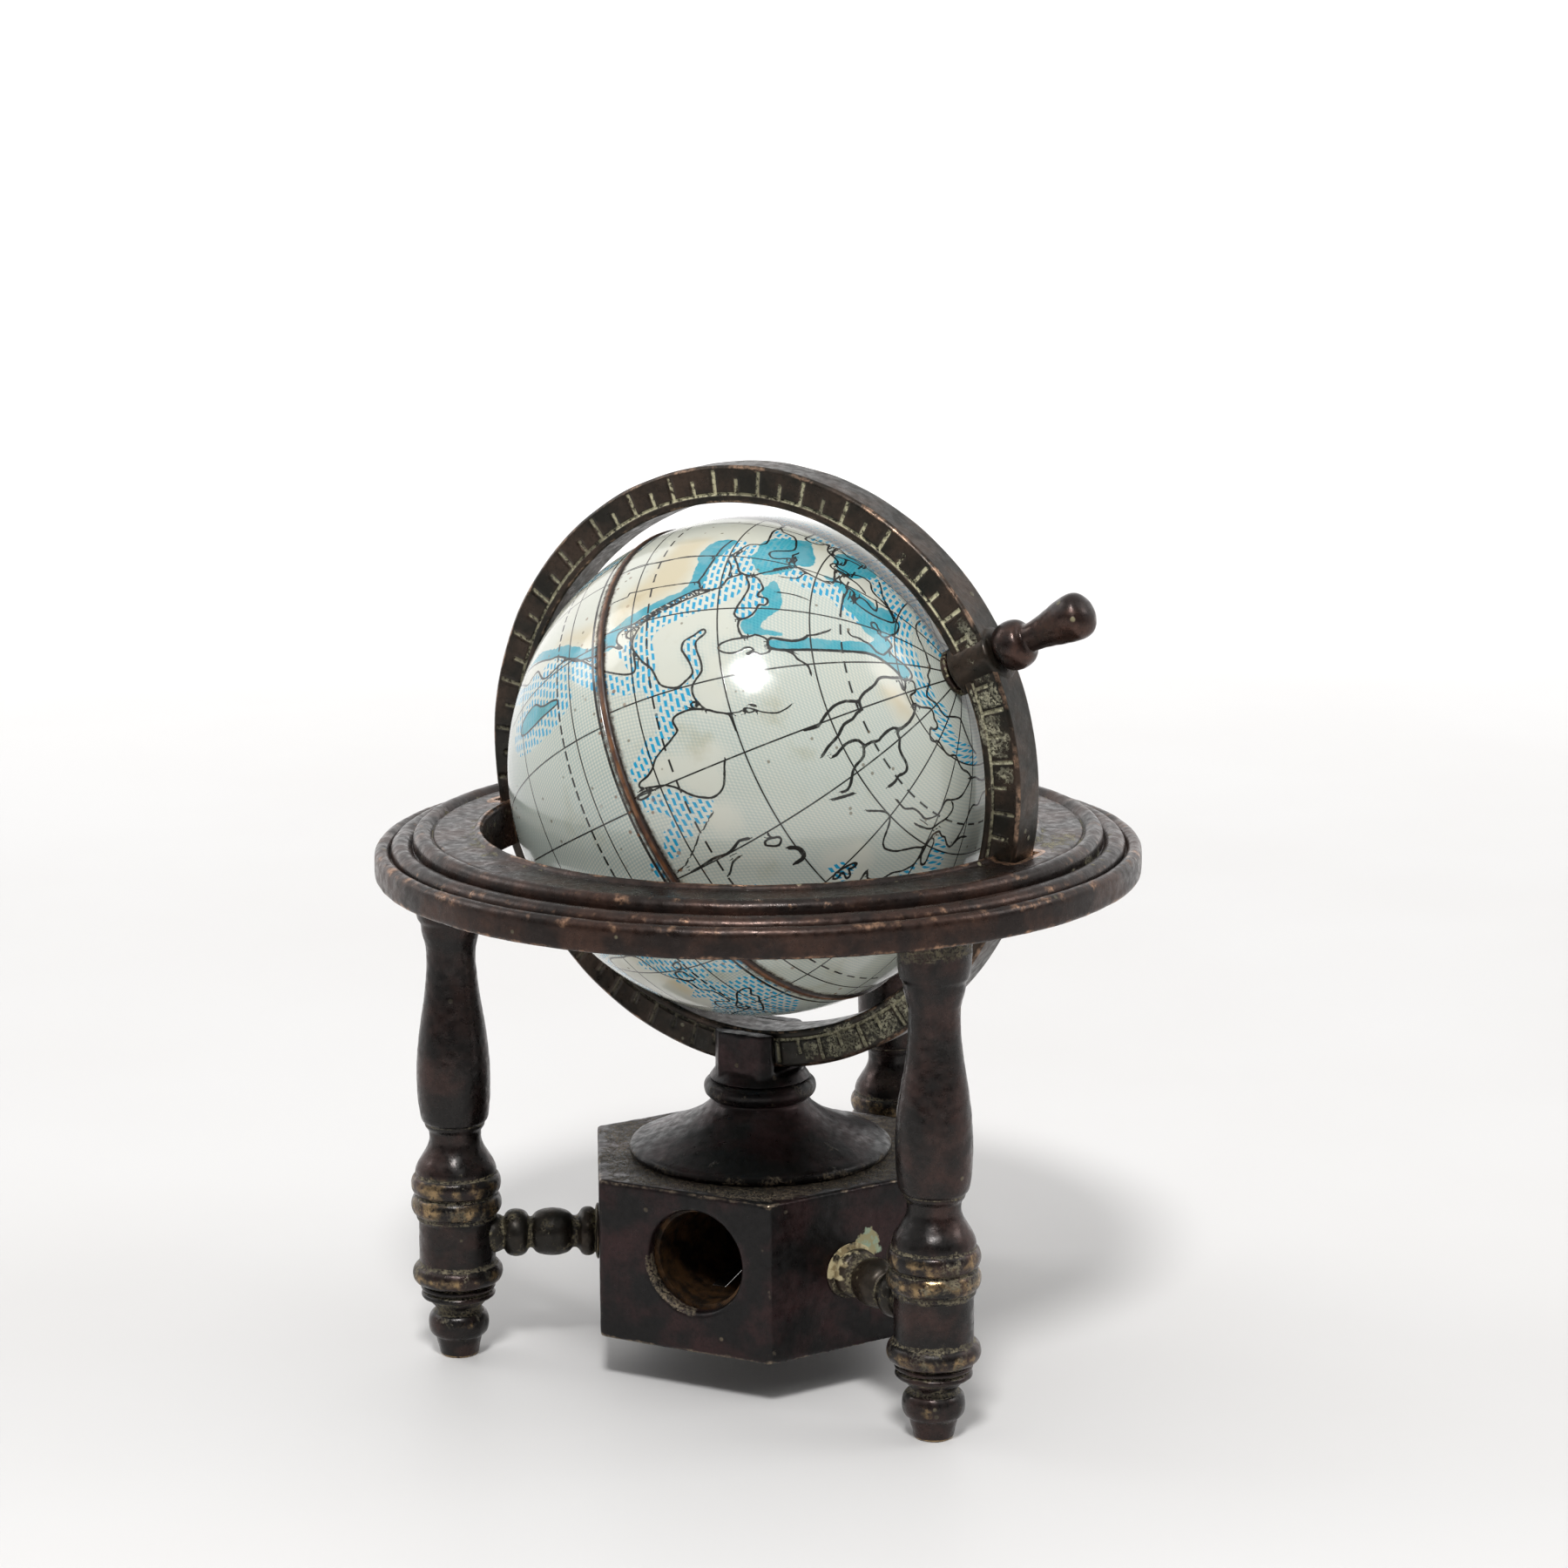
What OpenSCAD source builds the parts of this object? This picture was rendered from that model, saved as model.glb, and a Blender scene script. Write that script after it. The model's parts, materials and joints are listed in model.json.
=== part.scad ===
// Miniature desk globe that is also a pencil sharpener, in millimetres.
// A tin globe turns on its polar axle in a graduated meridian ring. The ring slides round in a forked
// post and in two notches of the horizon ring, which three turned legs carry. Three beaded stretchers
// hold a six-sided sharpener box between the legs, a little above the surface the feet stand on.
// Origin: on that surface, under the centre of the box. +Z is up, and the pencil goes in along +Y.

/* [Globe] */
// Diameter of the tin globe
globe_d = 43; // [42:0.5:43.5]
// Height of the globe's centre
globe_z = 52.5; // [52:0.1:53]
// Rise of the north pole above the horizontal, in degrees
pole_rise = 27; // [26.5:0.5:30]
// Thickness of the tin
tin_t = 0.4; // [0.3:0.05:0.6]
// Width of the raised band that joins the halves
band_w = 0.7; // [0.5:0.1:1]
// Distance of the band from the equator, to the north
band_north = 1.1; // [0:0.1:1.5]

/* [Meridian ring] */
// Gap between the globe and the ring
ring_gap = 1.5; // [1.4:0.1:1.8]
// Thickness of the ring, along the radius
ring_t = 3.2; // [3:0.1:3.4]
// Width of the ring, across its plane
ring_w = 3.9; // [3.6:0.1:4]
// Angle of the ring's plane from the row of the box's side faces, in degrees
ring_yaw = -3; // [-4:0.5:4]

/* [Horizon ring] */
// Height of its underside
horizon_z = 43.5; // [43:0.1:44]
// Outer radius
horizon_r = 33; // [32:0.1:34]
// Radius of its opening
horizon_bore_r = 23.7; // [23.5:0.1:24]

/* [Legs] */
// Radius of the circle that the three legs stand on
leg_circle_r = 26.7; // [26:0.1:27]
// Radius of the plain drum that takes the stretcher
leg_drum_r = 3.33; // [3.2:0.01:3.4]
// Height of the stretchers' axes
stretcher_z = 11; // [10.6:0.1:11.4]

/* [Sharpener box] */
// Width across the flats
box_flats = 28.5; // [28:0.1:29]
// Height of the open underside
box_z = 4; // [3:0.1:5]
// Height of the box itself
box_h = 14.2; // [14:0.1:14.6]
// Thickness of the walls and the roof
box_wall = 1.4; // [1.2:0.1:1.5]
// Radius of the pencil's hole in the wall
case_hole_r = 4.45; // [4.3:0.05:4.6]
// Distance of that hole to the right of the middle
hole_x = 1; // [0:0.1:1.5]
// Height of that hole
hole_z = 12.1; // [12:0.1:12.2]
// Radius of the straight lead-in of the sharpener, for a pencil of up to 8 mm
bore_r = 4.1; // [4.05:0.05:4.15]

/* [Pedestal] */
// Radius of the trumpet-shaped disc
disc_r = 11.5; // [11:0.1:12]
// Radius of the collar under the fork
collar_r = 4.9; // [4.7:0.1:5]

/* [Hidden] */

$fn = 96;
hair = 0.01;

// Directions of the three legs and their stretchers
FRONT_RIGHT = -30;
FRONT_LEFT = 210;
REAR = 90;

// Clearances between pieces that move on each other
slide_gap = 0.3;
pin_gap = 0.05;
thrust_gap = 0.15;

// Globe and axle
globe_r = globe_d / 2;
axle_r = 0.9;
band_proud = 0.22;
band_lap = 1.6;
washer_r = 2;
washer_t = 0.45;

// Meridian ring
ring_in_r = globe_r + ring_gap;
ring_out_r = ring_in_r + ring_t;
ring_edge = 0.25;
scale_r = ring_in_r + 0.45;
scale_groove_w = 0.3;
scale_groove_d = 0.12;
boss_r = 2.35;
boss_core_r = boss_r - 0.2;
boss_in = globe_r + washer_t + slide_gap;
boss_out = ring_out_r + 0.1;

// Horizon ring
notch_w = ring_w + 2 * slide_gap;
ring_foot_dz = globe_z - horizon_z - 4.2;
notch_r = sqrt(ring_out_r * ring_out_r - ring_foot_dz * ring_foot_dz) + slide_gap;
peg_r = 1.5;
peg_h = 1.8;
tenon_r = 0.9;
tenon_l = 2;

// Box and pedestal
box_r = box_flats / 2;
box_top = box_z + box_h;
roof_under = box_top - box_wall;
wall_in = box_r - box_wall;
hex_corner = 1 / cos(30);
wall_tenon_r = 1.2;
post_x = 2.85;
post_y = 3.6;
post_cut = 0.8;
collar_top = box_top + 6.7;
slot_floor = globe_z - ring_out_r - slide_gap;
cheek_top = globe_z - ring_in_r - 0.1;
post_tail_r = 2.6;
post_tail_z = box_top + 1.6;
screw_r = 1.25;
screw_head_r = 2.4;

// Sharpener insert
insert_w = 12;
insert_front = -wall_in;
insert_back = insert_front + 23.8;
lead_in = 4;
cone_l = 17.9;
cone_tip_r = 0.6;
cone_a = atan((bore_r - cone_tip_r) / cone_l);
window_cut = 0.2;
insert_top = roof_under - 0.1;
blade_t = 0.5;
blade_w = 5.7;
blade_l = 17.5;
blade_bevel = 0.9;
blade_screw_x = -3.8;
blade_screw_y = 8.5;
blade_screw_r = 1.2;

// Section of a rounded bead between heights z0 and z1
function bead(r_in, r_out, z0, z1, n = 8) = [for (i = [0:n])
    [r_in + (r_out - r_in) * sin(180 * i / n), (z0 + z1) / 2 - (z1 - z0) / 2 * cos(180 * i / n)]];

// Section of a soft S from radius r0 at z0 to radius r1 at z1
function ease(r0, r1, z0, z1, n = 8) = [for (i = [0:n])
    [r0 + (r1 - r0) * (1 - cos(180 * i / n)) / 2, z0 + (z1 - z0) * i / n]];

// Section of a quarter turn that leaves r0 sideways and reaches r1 upright
function swell(r0, r1, z0, z1, n = 6) = [for (i = [0:n])
    [r0 + (r1 - r0) * sin(90 * i / n), z1 - (z1 - z0) * cos(90 * i / n)]];

// Turns a section of [radius, height] points, given bottom to top, into a solid
module turned(section) {
    rotate_extrude()
        polygon(concat([[0, section[0][1]]], section, [[0, section[len(section) - 1][1]]]));
}

// Six-sided prism with flats at the given radius, and one flat facing -Y
module hex_prism(flat_r, h) {
    cylinder(r = flat_r * hex_corner, h = h, $fn = 6);
}

// Places its children in the direction of a leg, at the foot of the leg's axis
module at_leg(direction) {
    rotate([0, 0, direction])
        translate([leg_circle_r, 0, 0])
            children();
}

// Places its children along the polar axis, with z measured from the globe's centre to the north
module on_polar_axis() {
    translate([0, 0, globe_z])
        rotate([0, 0, ring_yaw])
            rotate([0, 90 - pole_rise, 0])
                children();
}

// Places its children on the sloping blade face: x across, y up the slope, -z away from the face
module on_blade_face() {
    translate([hole_x, insert_front + lead_in, hole_z - bore_r + window_cut])
        rotate([cone_a, 0, 0])
            children();
}

// ---- Stand ----

module horizon_ring() {
    r = horizon_r;
    section = concat(
        [[horizon_bore_r, 0], [r - 0.4, 0], [r, 0.35], [r, 1.85]],
        [for (i = [0:6]) let (a = 180 * i / 6) [r - 0.68 + 0.72 * cos(a), 1.9 + 0.75 * sin(a)]],
        [for (i = [0:6]) let (a = 20 + 150 * i / 6) [r - 2.35 + 0.97 * cos(a), 2.3 + 0.87 * sin(a)]],
        [for (i = [0:6]) let (a = 20 + 150 * i / 6) [r - 4.15 + 0.85 * cos(a), 3.2 + 0.9 * sin(a)]],
        [[r - 5.1, 3.75], [horizon_bore_r + 0.75, 3.75]],
        [for (i = [0:4]) let (a = 180 * i / 4)
            [horizon_bore_r + 0.36 + 0.36 * cos(a), 3.8 + 0.36 * sin(a)]]);
    color([0.25, 0.15, 0.11])
    difference() {
        translate([0, 0, horizon_z])
            rotate_extrude()
                polygon(section);
        rotate([0, 0, ring_yaw])
            for (side = [0, 180])
                rotate([0, 0, side])
                    translate([horizon_bore_r - 2, -notch_w / 2, horizon_z - 1])
                        cube([notch_r - horizon_bore_r + 2, notch_w, 6.5]);
        for (direction = [FRONT_RIGHT, FRONT_LEFT, REAR])
            at_leg(direction)
                translate([0, 0, horizon_z - 1])
                    cylinder(r = peg_r, h = peg_h + 1);
    }
}

// One turned leg, with a peg for the horizon ring and a blind hole for the stretcher's tenon
module leg(direction) {
    section = concat(
        [[1.5, 0], [1.65, 0.12], [2.05, 1.75]],
        bead(2.1, 2.66, 1.85, 4.05),
        ease(2, 2.55, 4.25, 5.2, 4),
        bead(2.85, 3.28, 5.3, 5.92, 6),
        bead(2.9, 3.3, 6, 6.6, 6),
        bead(leg_drum_r, 3.95, 6.7, 8.45),
        [[leg_drum_r, 8.6], [leg_drum_r, 12.45], [3.5, 12.6], [3.5, 12.9]],
        bead(3.45, 3.95, 13, 14.75),
        bead(3.45, 3.92, 14.85, 16.6),
        ease(3.55, 2.27, 16.75, 19.9),
        [[2.3, 20.5], [2.62, 21], [2.62, 21.15]],
        swell(2.7, 3.22, 21.3, 25.2),
        ease(3.21, 2.13, 25.6, 36.2, 10),
        ease(2.14, 2.58, 36.5, 39, 5),
        [[2.58, 39.1], [2.66, 39.2]],
        swell(2.7, 3.1, 39.3, 41.8, 4),
        [[3.1, horizon_z], [peg_r, horizon_z], [peg_r, horizon_z + peg_h]]);
    color([0.16, 0.12, 0.1])
    at_leg(direction)
        difference() {
            turned(section);
            translate([-leg_drum_r - hair, 0, stretcher_z])
                rotate([0, 90, 0])
                    cylinder(r = tenon_r, h = tenon_l + hair);
        }
}

module leg_front_right() {
    leg(FRONT_RIGHT);
}

module leg_front_left() {
    leg(FRONT_LEFT);
}

module leg_rear() {
    leg(REAR);
}

// One beaded stretcher, peened inside the box wall and tenoned into the leg's drum
module stretcher(direction) {
    leg_end = leg_circle_r - leg_drum_r + tenon_l;
    section = concat(
        [[1.65, wall_in - 0.6], [1.65, wall_in], [wall_tenon_r, wall_in], [wall_tenon_r, box_r]],
        [[2.5, box_r], [2.5, box_r + 0.2]],
        bead(1.75, 2.16, box_r + 0.35, box_r + 1.65),
        [[1.38, box_r + 1.95], [1.38, box_r + 2.2]],
        bead(1.4, 2.1, box_r + 2.4, box_r + 5.8),
        [[1.34, box_r + 5.95], [1.34, box_r + 6.1]],
        bead(1.36, 2.12, box_r + 6.2, box_r + 8.35),
        [[1.5, box_r + 8.45], [1.75, box_r + 9.2], [tenon_r, box_r + 9.7], [tenon_r, leg_end]]);
    color([0.19, 0.15, 0.11])
    difference() {
        rotate([0, 0, direction])
            translate([0, 0, stretcher_z])
                rotate([0, 90, 0])
                    turned(section);
        at_leg(direction)
            difference() {
                cylinder(r = leg_drum_r, h = box_top);
                translate([-leg_drum_r - 1, 0, stretcher_z])
                    rotate([0, 90, 0])
                        cylinder(r = tenon_r, h = tenon_l + 2);
            }
    }
}

module stretcher_front_right() {
    stretcher(FRONT_RIGHT);
}

module stretcher_front_left() {
    stretcher(FRONT_LEFT);
}

module stretcher_rear() {
    stretcher(REAR);
}

// ---- Sharpener box ----

// Hollow box, open underneath so that the shavings fall out, with two ribs that grip the insert
module base_box() {
    rib_t = 1.2;
    rib_z = hole_z - 4;
    color([0.13, 0.1, 0.1])
    difference() {
        translate([0, 0, box_z])
            hex_prism(box_r, box_h);
        difference() {
            translate([0, 0, box_z - 1])
                hex_prism(wall_in, roof_under - box_z + 1);
            for (x = [hole_x - insert_w / 2 - rib_t, hole_x + insert_w / 2])
                translate([x, insert_front - 1, rib_z])
                    cube([rib_t, 8, roof_under - rib_z + 1]);
        }
        translate([hole_x, -wall_in + 1, hole_z])
            rotate([90, 0, 0])
                cylinder(r = case_hole_r, h = box_wall + 2);
        translate([hole_x, -box_r + 0.3, hole_z])
            rotate([90, 0, 0])
                cylinder(r1 = case_hole_r, r2 = case_hole_r + 0.4, h = 0.4);
        for (direction = [FRONT_RIGHT, FRONT_LEFT, REAR])
            rotate([0, 0, direction])
                translate([wall_in - 1, 0, stretcher_z])
                    rotate([0, 90, 0])
                        cylinder(r = wall_tenon_r, h = box_wall + 2);
        translate([0, 0, roof_under - 1])
            cylinder(r = screw_r, h = box_wall + 2);
        translate([0, 0, roof_under])
            cylinder(r1 = screw_head_r, r2 = screw_r, h = 1);
        translate([0, 0, roof_under - hair])
            cylinder(r = screw_head_r, h = 2 * hair);
    }
}

// Trumpet-shaped disc that stands on the box, with its neck and collar
module pedestal_disc() {
    foot = box_top;
    neck_r = 4.2;
    flare = [for (i = [0:12]) let (t = i / 12)
        [disc_r - 0.3 - (disc_r - 0.3 - neck_r) * t, foot + 0.9 + 3.75 * (0.75 * t + 0.25 * pow(t, 6))]];
    section = concat(
        [[disc_r - 0.35, foot], [disc_r, foot + 0.25], [disc_r, foot + 0.65]],
        flare,
        [[neck_r, foot + 4.85]],
        bead(neck_r, collar_r, foot + 4.95, collar_top - 0.05),
        [[neck_r, collar_top]]);
    color([0.12, 0.1, 0.08])
    difference() {
        turned(section);
        translate([0, 0, foot - 1])
            cylinder(r = screw_r, h = 4);
        translate([0, 0, post_tail_z])
            cylinder(r = post_tail_r, h = 10);
    }
}

// Post with a fork for the ring, its edges cut off, and a tail that sits in the pedestal
module fork_post() {
    outline = [[post_x, post_y - post_cut], [post_x - post_cut, post_y],
        [post_cut - post_x, post_y], [-post_x, post_y - post_cut],
        [-post_x, post_cut - post_y], [post_cut - post_x, -post_y],
        [post_x - post_cut, -post_y], [post_x, post_cut - post_y]];
    color([0.12, 0.1, 0.08])
    rotate([0, 0, ring_yaw])
        difference() {
            union() {
                translate([0, 0, collar_top])
                    cylinder(r1 = 4.45, r2 = 3.9, h = 0.8);
                translate([0, 0, collar_top])
                    linear_extrude(cheek_top - collar_top)
                        polygon(outline);
                translate([0, 0, post_tail_z])
                    cylinder(r = post_tail_r, h = collar_top - post_tail_z + hair);
            }
            translate([-5, -notch_w / 2, slot_floor])
                cube([10, notch_w, 10]);
            translate([0, 0, post_tail_z - 1])
                cylinder(r = screw_r, h = collar_top - post_tail_z + 1);
        }
}

// Countersunk screw that clamps the pedestal and the post to the roof of the box
module pedestal_screw() {
    slot_w = 0.6;
    color([0.35, 0.33, 0.3])
    difference() {
        union() {
            translate([0, 0, roof_under])
                cylinder(r1 = screw_head_r, r2 = screw_r, h = 1);
            translate([0, 0, roof_under])
                cylinder(r = screw_r, h = collar_top - roof_under - 0.5);
        }
        translate([-screw_head_r, -slot_w / 2, roof_under - 1])
            cube([2 * screw_head_r, slot_w, 1.5]);
    }
}

// ---- Sharpener ----

// Wedge with a straight lead-in, a cone, and a sloping face that opens the cone along one side
module sharpener_body() {
    slope_front = hole_z - bore_r + window_cut - lead_in * tan(cone_a);
    slope_back = slope_front + (insert_back - insert_front) * tan(cone_a);
    color([0.6, 0.47, 0.25])
    difference() {
        translate([hole_x - insert_w / 2, 0, 0])
            rotate([90, 0, 90])
                linear_extrude(insert_w)
                    polygon([[insert_front, slope_front], [insert_back, slope_back],
                        [insert_back, insert_top], [insert_front, insert_top]]);
        translate([hole_x, insert_front - 1, hole_z])
            rotate([-90, 0, 0])
                cylinder(r = bore_r, h = lead_in + 1);
        translate([hole_x, insert_front + lead_in - hair, hole_z])
            rotate([-90, 0, 0])
                cylinder(r1 = bore_r, r2 = cone_tip_r, h = cone_l);
        on_blade_face()
            translate([blade_screw_x, blade_screw_y, -1])
                cylinder(r = blade_screw_r, h = 4.5);
    }
}

// Flat blade, ground on one long edge, which lies over one side of the window in the cone
module sharpener_blade() {
    color([0.62, 0.62, 0.63])
    on_blade_face()
        difference() {
            translate([0, 0.4 + blade_l, 0])
                rotate([90, 0, 0])
                    linear_extrude(blade_l)
                        polygon([[-blade_w, 0], [0, 0], [-blade_bevel, -blade_t], [-blade_w, -blade_t]]);
            translate([blade_screw_x, blade_screw_y, -1])
                cylinder(r = blade_screw_r, h = 2);
        }
}

module blade_screw() {
    head_r = 1.85;
    head_h = 1;
    color([0.5, 0.5, 0.5])
    on_blade_face()
        translate([blade_screw_x, blade_screw_y, 0])
            difference() {
                union() {
                    translate([0, 0, -blade_t])
                        cylinder(r = blade_screw_r, h = blade_t + 3.5);
                    translate([0, 0, -blade_t - head_h])
                        cylinder(r1 = head_r - 0.35, r2 = head_r, h = head_h);
                }
                translate([-head_r, -0.25, -blade_t - head_h - 1])
                    cube([2 * head_r, 0.5, 1.4]);
            }
}

// ---- Meridian ring ----

// Ring with a graduated groove on each face and a boss for the axle at each pole.
// The ring is cut out under the bosses first, so that its grooves end there.
module meridian_ring() {
    half = ring_w / 2;
    groove_out = scale_r + scale_groove_w;
    groove_y = half - scale_groove_d;
    section = [[ring_in_r, -half], [scale_r, -half], [scale_r, -groove_y], [groove_out, -groove_y],
        [groove_out, -half], [ring_out_r - ring_edge, -half], [ring_out_r, -half + ring_edge],
        [ring_out_r, half - ring_edge], [ring_out_r - ring_edge, half], [groove_out, half],
        [groove_out, groove_y], [scale_r, groove_y], [scale_r, half], [ring_in_r, half]];
    color([0.2, 0.17, 0.13])
    difference() {
        union() {
            difference() {
                translate([0, 0, globe_z])
                    rotate([90, 0, ring_yaw])
                        rotate_extrude()
                            polygon(section);
                on_polar_axis()
                    translate([0, 0, -ring_out_r - 2])
                        cylinder(r = boss_core_r, h = 2 * ring_out_r + 4);
            }
            on_polar_axis()
                for (pole = [0, 180])
                    rotate([pole, 0, 0])
                        translate([0, 0, boss_in])
                            cylinder(r = boss_r, h = boss_out - boss_in);
        }
        on_polar_axis()
            translate([0, 0, -ring_out_r - 2])
                cylinder(r = axle_r + pin_gap, h = 2 * ring_out_r + 4);
    }
}

// ---- Globe ----

// Part of the tin shell beyond the height rim_z, turned to the north or the south, with a round hole
// for the axle at its pole
module globe_half(turn, rim_z) {
    on_polar_axis()
        rotate([turn, 0, 0])
            difference() {
                sphere(r = globe_r);
                sphere(r = globe_r - tin_t);
                translate([0, 0, -globe_r - 1])
                    cylinder(r = globe_r + 1, h = globe_r + 1 + rim_z);
                cylinder(r = axle_r, h = globe_r + 1);
            }
}

module globe_north_half() {
    color([0.72, 0.76, 0.74])
    globe_half(0, band_north + band_w / 2);
}

module globe_south_half() {
    color([0.7, 0.74, 0.72])
    globe_half(180, band_w / 2 - band_north);
}

// Joining band: a bead that shows between the halves and a lap that both halves slip over
module equator_band() {
    half = band_w / 2;
    lap_r = sqrt(pow(globe_r - tin_t, 2) - pow(band_north + band_lap, 2));
    seam_r = sqrt(globe_r * globe_r - band_north * band_north);
    color([0.35, 0.16, 0.08])
    on_polar_axis()
        translate([0, 0, band_north])
        rotate_extrude()
            polygon(concat(
                [[lap_r - 0.35, -band_lap], [lap_r, -band_lap], [lap_r, -half]],
                [for (i = [0:6]) let (a = -90 + 180 * i / 6)
                    [seam_r + band_proud * cos(a), half * sin(a)]],
                [[lap_r, half], [lap_r, band_lap], [lap_r - 0.35, band_lap]]));
}

// Steel wire on which the globe is fixed, from the rivet to the handle
module polar_axle() {
    south = -boss_out - thrust_gap - 0.8;
    north = boss_out + thrust_gap + 4.5;
    color([0.45, 0.42, 0.38])
    on_polar_axis()
        translate([0, 0, south])
            cylinder(r = axle_r, h = north - south);
}

// Thin dished washer between the globe and a boss
module pole_washer(turn) {
    hole_z = sqrt(globe_r * globe_r - axle_r * axle_r);
    rim_z = sqrt(globe_r * globe_r - washer_r * washer_r);
    top_z = globe_r + washer_t;
    color([0.2, 0.12, 0.09])
    on_polar_axis()
        rotate([turn, 0, 0])
            rotate_extrude()
                polygon([[axle_r, hole_z], [washer_r, rim_z], [washer_r, top_z], [axle_r, top_z]]);
}

module pole_washer_north() {
    pole_washer(0);
}

module pole_washer_south() {
    pole_washer(180);
}

// Flattened ball and pear-shaped grip in one piece, fixed on the north end of the axle
module spin_handle() {
    ball_z = boss_out + thrust_gap;
    ball_l = 2.9;
    grip_l = 6.3;
    head_r = 1.97;
    cap_l = 1.35;
    grip_z = ball_z + ball_l - 0.15;
    head_z = grip_z + grip_l - cap_l;
    section = concat(
        bead(1.35, 2.12, ball_z, ball_z + ball_l - 0.25),
        ease(1.2, head_r, grip_z, head_z, 8),
        [for (i = [1:7]) let (a = 90 * i / 8) [head_r * cos(a), head_z + cap_l * sin(a)]],
        [[0.05, grip_z + grip_l]]);
    color([0.22, 0.16, 0.13])
    on_polar_axis()
        difference() {
            turned(section);
            cylinder(r = axle_r, h = boss_out + thrust_gap + 4.5);
        }
}

// Domed end of the axle, closed over the south boss
module axle_rivet() {
    dome_r = 1.5;
    foot = boss_out + thrust_gap;
    section = concat([[dome_r, foot], [dome_r, foot + 0.25]],
        [for (i = [1:5]) let (a = 90 * i / 6) [dome_r * cos(a), foot + 0.25 + 0.75 * sin(a)]],
        [[0.05, foot + 1]]);
    color([0.3, 0.26, 0.22])
    on_polar_axis()
        rotate([180, 0, 0])
            difference() {
                turned(section);
                cylinder(r = axle_r, h = foot + 0.8);
            }
}

horizon_ring();
leg_front_right();
leg_front_left();
leg_rear();
stretcher_front_right();
stretcher_front_left();
stretcher_rear();
base_box();
pedestal_disc();
fork_post();
pedestal_screw();
sharpener_body();
sharpener_blade();
blade_screw();
meridian_ring();
globe_north_half();
globe_south_half();
equator_band();
polar_axle();
pole_washer_north();
pole_washer_south();
spin_handle();
axle_rivet();
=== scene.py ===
"""Looks of a miniature desk globe that is also a pencil sharpener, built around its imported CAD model.

Lengths in the helpers are millimetres, because the object is small, and each mesh is scaled to metres
once, when it is made. Most turned pieces take their sections from the CAD nodes they stand for.
"""
import json
import math

import bmesh
import bpy
import numpy as np
from mathutils import Euler, Matrix, Vector


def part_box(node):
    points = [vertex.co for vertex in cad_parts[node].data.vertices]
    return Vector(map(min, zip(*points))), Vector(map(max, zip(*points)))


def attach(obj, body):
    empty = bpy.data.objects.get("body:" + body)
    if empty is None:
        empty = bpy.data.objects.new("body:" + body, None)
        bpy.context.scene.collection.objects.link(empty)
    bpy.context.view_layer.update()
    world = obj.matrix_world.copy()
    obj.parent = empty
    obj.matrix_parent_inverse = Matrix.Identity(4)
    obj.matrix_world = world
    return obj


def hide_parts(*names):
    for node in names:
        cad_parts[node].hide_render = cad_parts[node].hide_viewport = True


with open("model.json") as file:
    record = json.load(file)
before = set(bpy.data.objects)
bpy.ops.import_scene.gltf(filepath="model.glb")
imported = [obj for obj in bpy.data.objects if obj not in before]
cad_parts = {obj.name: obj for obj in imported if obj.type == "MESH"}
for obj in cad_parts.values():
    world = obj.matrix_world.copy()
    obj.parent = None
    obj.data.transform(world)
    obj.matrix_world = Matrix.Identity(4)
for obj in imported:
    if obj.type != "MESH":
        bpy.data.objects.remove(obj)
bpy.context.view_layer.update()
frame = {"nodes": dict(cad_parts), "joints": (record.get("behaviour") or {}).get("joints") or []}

MM = 0.001
JOINTS = {joint["name"]: joint for joint in frame["joints"]}
CENTRE = np.array(JOINTS["globe_spin"]["pos_m"]) / MM
POLE = np.array(JOINTS["globe_spin"]["axis"])
PLANE = -np.array(JOINTS["meridian_tilt"]["axis"])
UP = np.array([0.0, 0.0, 1.0])
GLOBE_R = 21.5
# How far north of the globe's centre the tin halves meet
SEAM_NORTH = 1.1
RING_IN, RING_OUT, RING_HALF = 23.0, 26.2, 1.95
# Play on each side between parts that slide
SLIDE_GAP = 0.3
# The pencil hole's centre: to the right of the box's middle, and above the floor
HOLE_X, HOLE_Z = 1.0, 12.1

# ---- Mesh helpers ----


def unit(vector):
    return vector / np.linalg.norm(vector)


def put(name, data):
    """An object in the scene, made from mesh, camera or light data."""
    made = bpy.data.objects.new(name, data)
    bpy.context.scene.collection.objects.link(made)
    return made


def make_piece(name, points, faces, body, material, replaces=(), values=None):
    """A mesh object from points in millimetres, riding on a body, with optional values per point."""
    mesh = bpy.data.meshes.new(name)
    mesh.from_pydata((np.asarray(points) * MM).tolist(), [], faces)
    mesh.validate()
    mesh.polygons.foreach_set("use_smooth", [True] * len(mesh.polygons))
    mesh.materials.append(material)
    for key, numbers in (values or {}).items():
        set_values(mesh, key, numbers)
    piece = put(name, mesh)
    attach(piece, body)
    if replaces:
        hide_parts(*replaces)


def set_values(mesh, key, numbers):
    """Stores one number or one vector per point under a name that materials read."""
    numbers = np.asarray(numbers, np.float32)
    kind, field = ("FLOAT_VECTOR", "vector") if numbers.ndim == 2 else ("FLOAT", "value")
    layer = mesh.attributes.new(key, kind, "POINT")
    layer.data.foreach_set(field, numbers.ravel())


def grid_faces(rows, columns, close_rows=False, close_columns=True):
    """Quads of a grid whose point (i, j) has the index i * columns + j."""
    i = np.arange(rows if close_rows else rows - 1)[:, None]
    j = np.arange(columns if close_columns else columns - 1)[None, :]
    next_i, next_j = (i + 1) % rows, (j + 1) % columns
    corners = [i * columns + j, i * columns + next_j, next_i * columns + next_j, next_i * columns + j]
    return np.stack(np.broadcast_arrays(*corners), -1).reshape(-1, 4).tolist()


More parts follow.
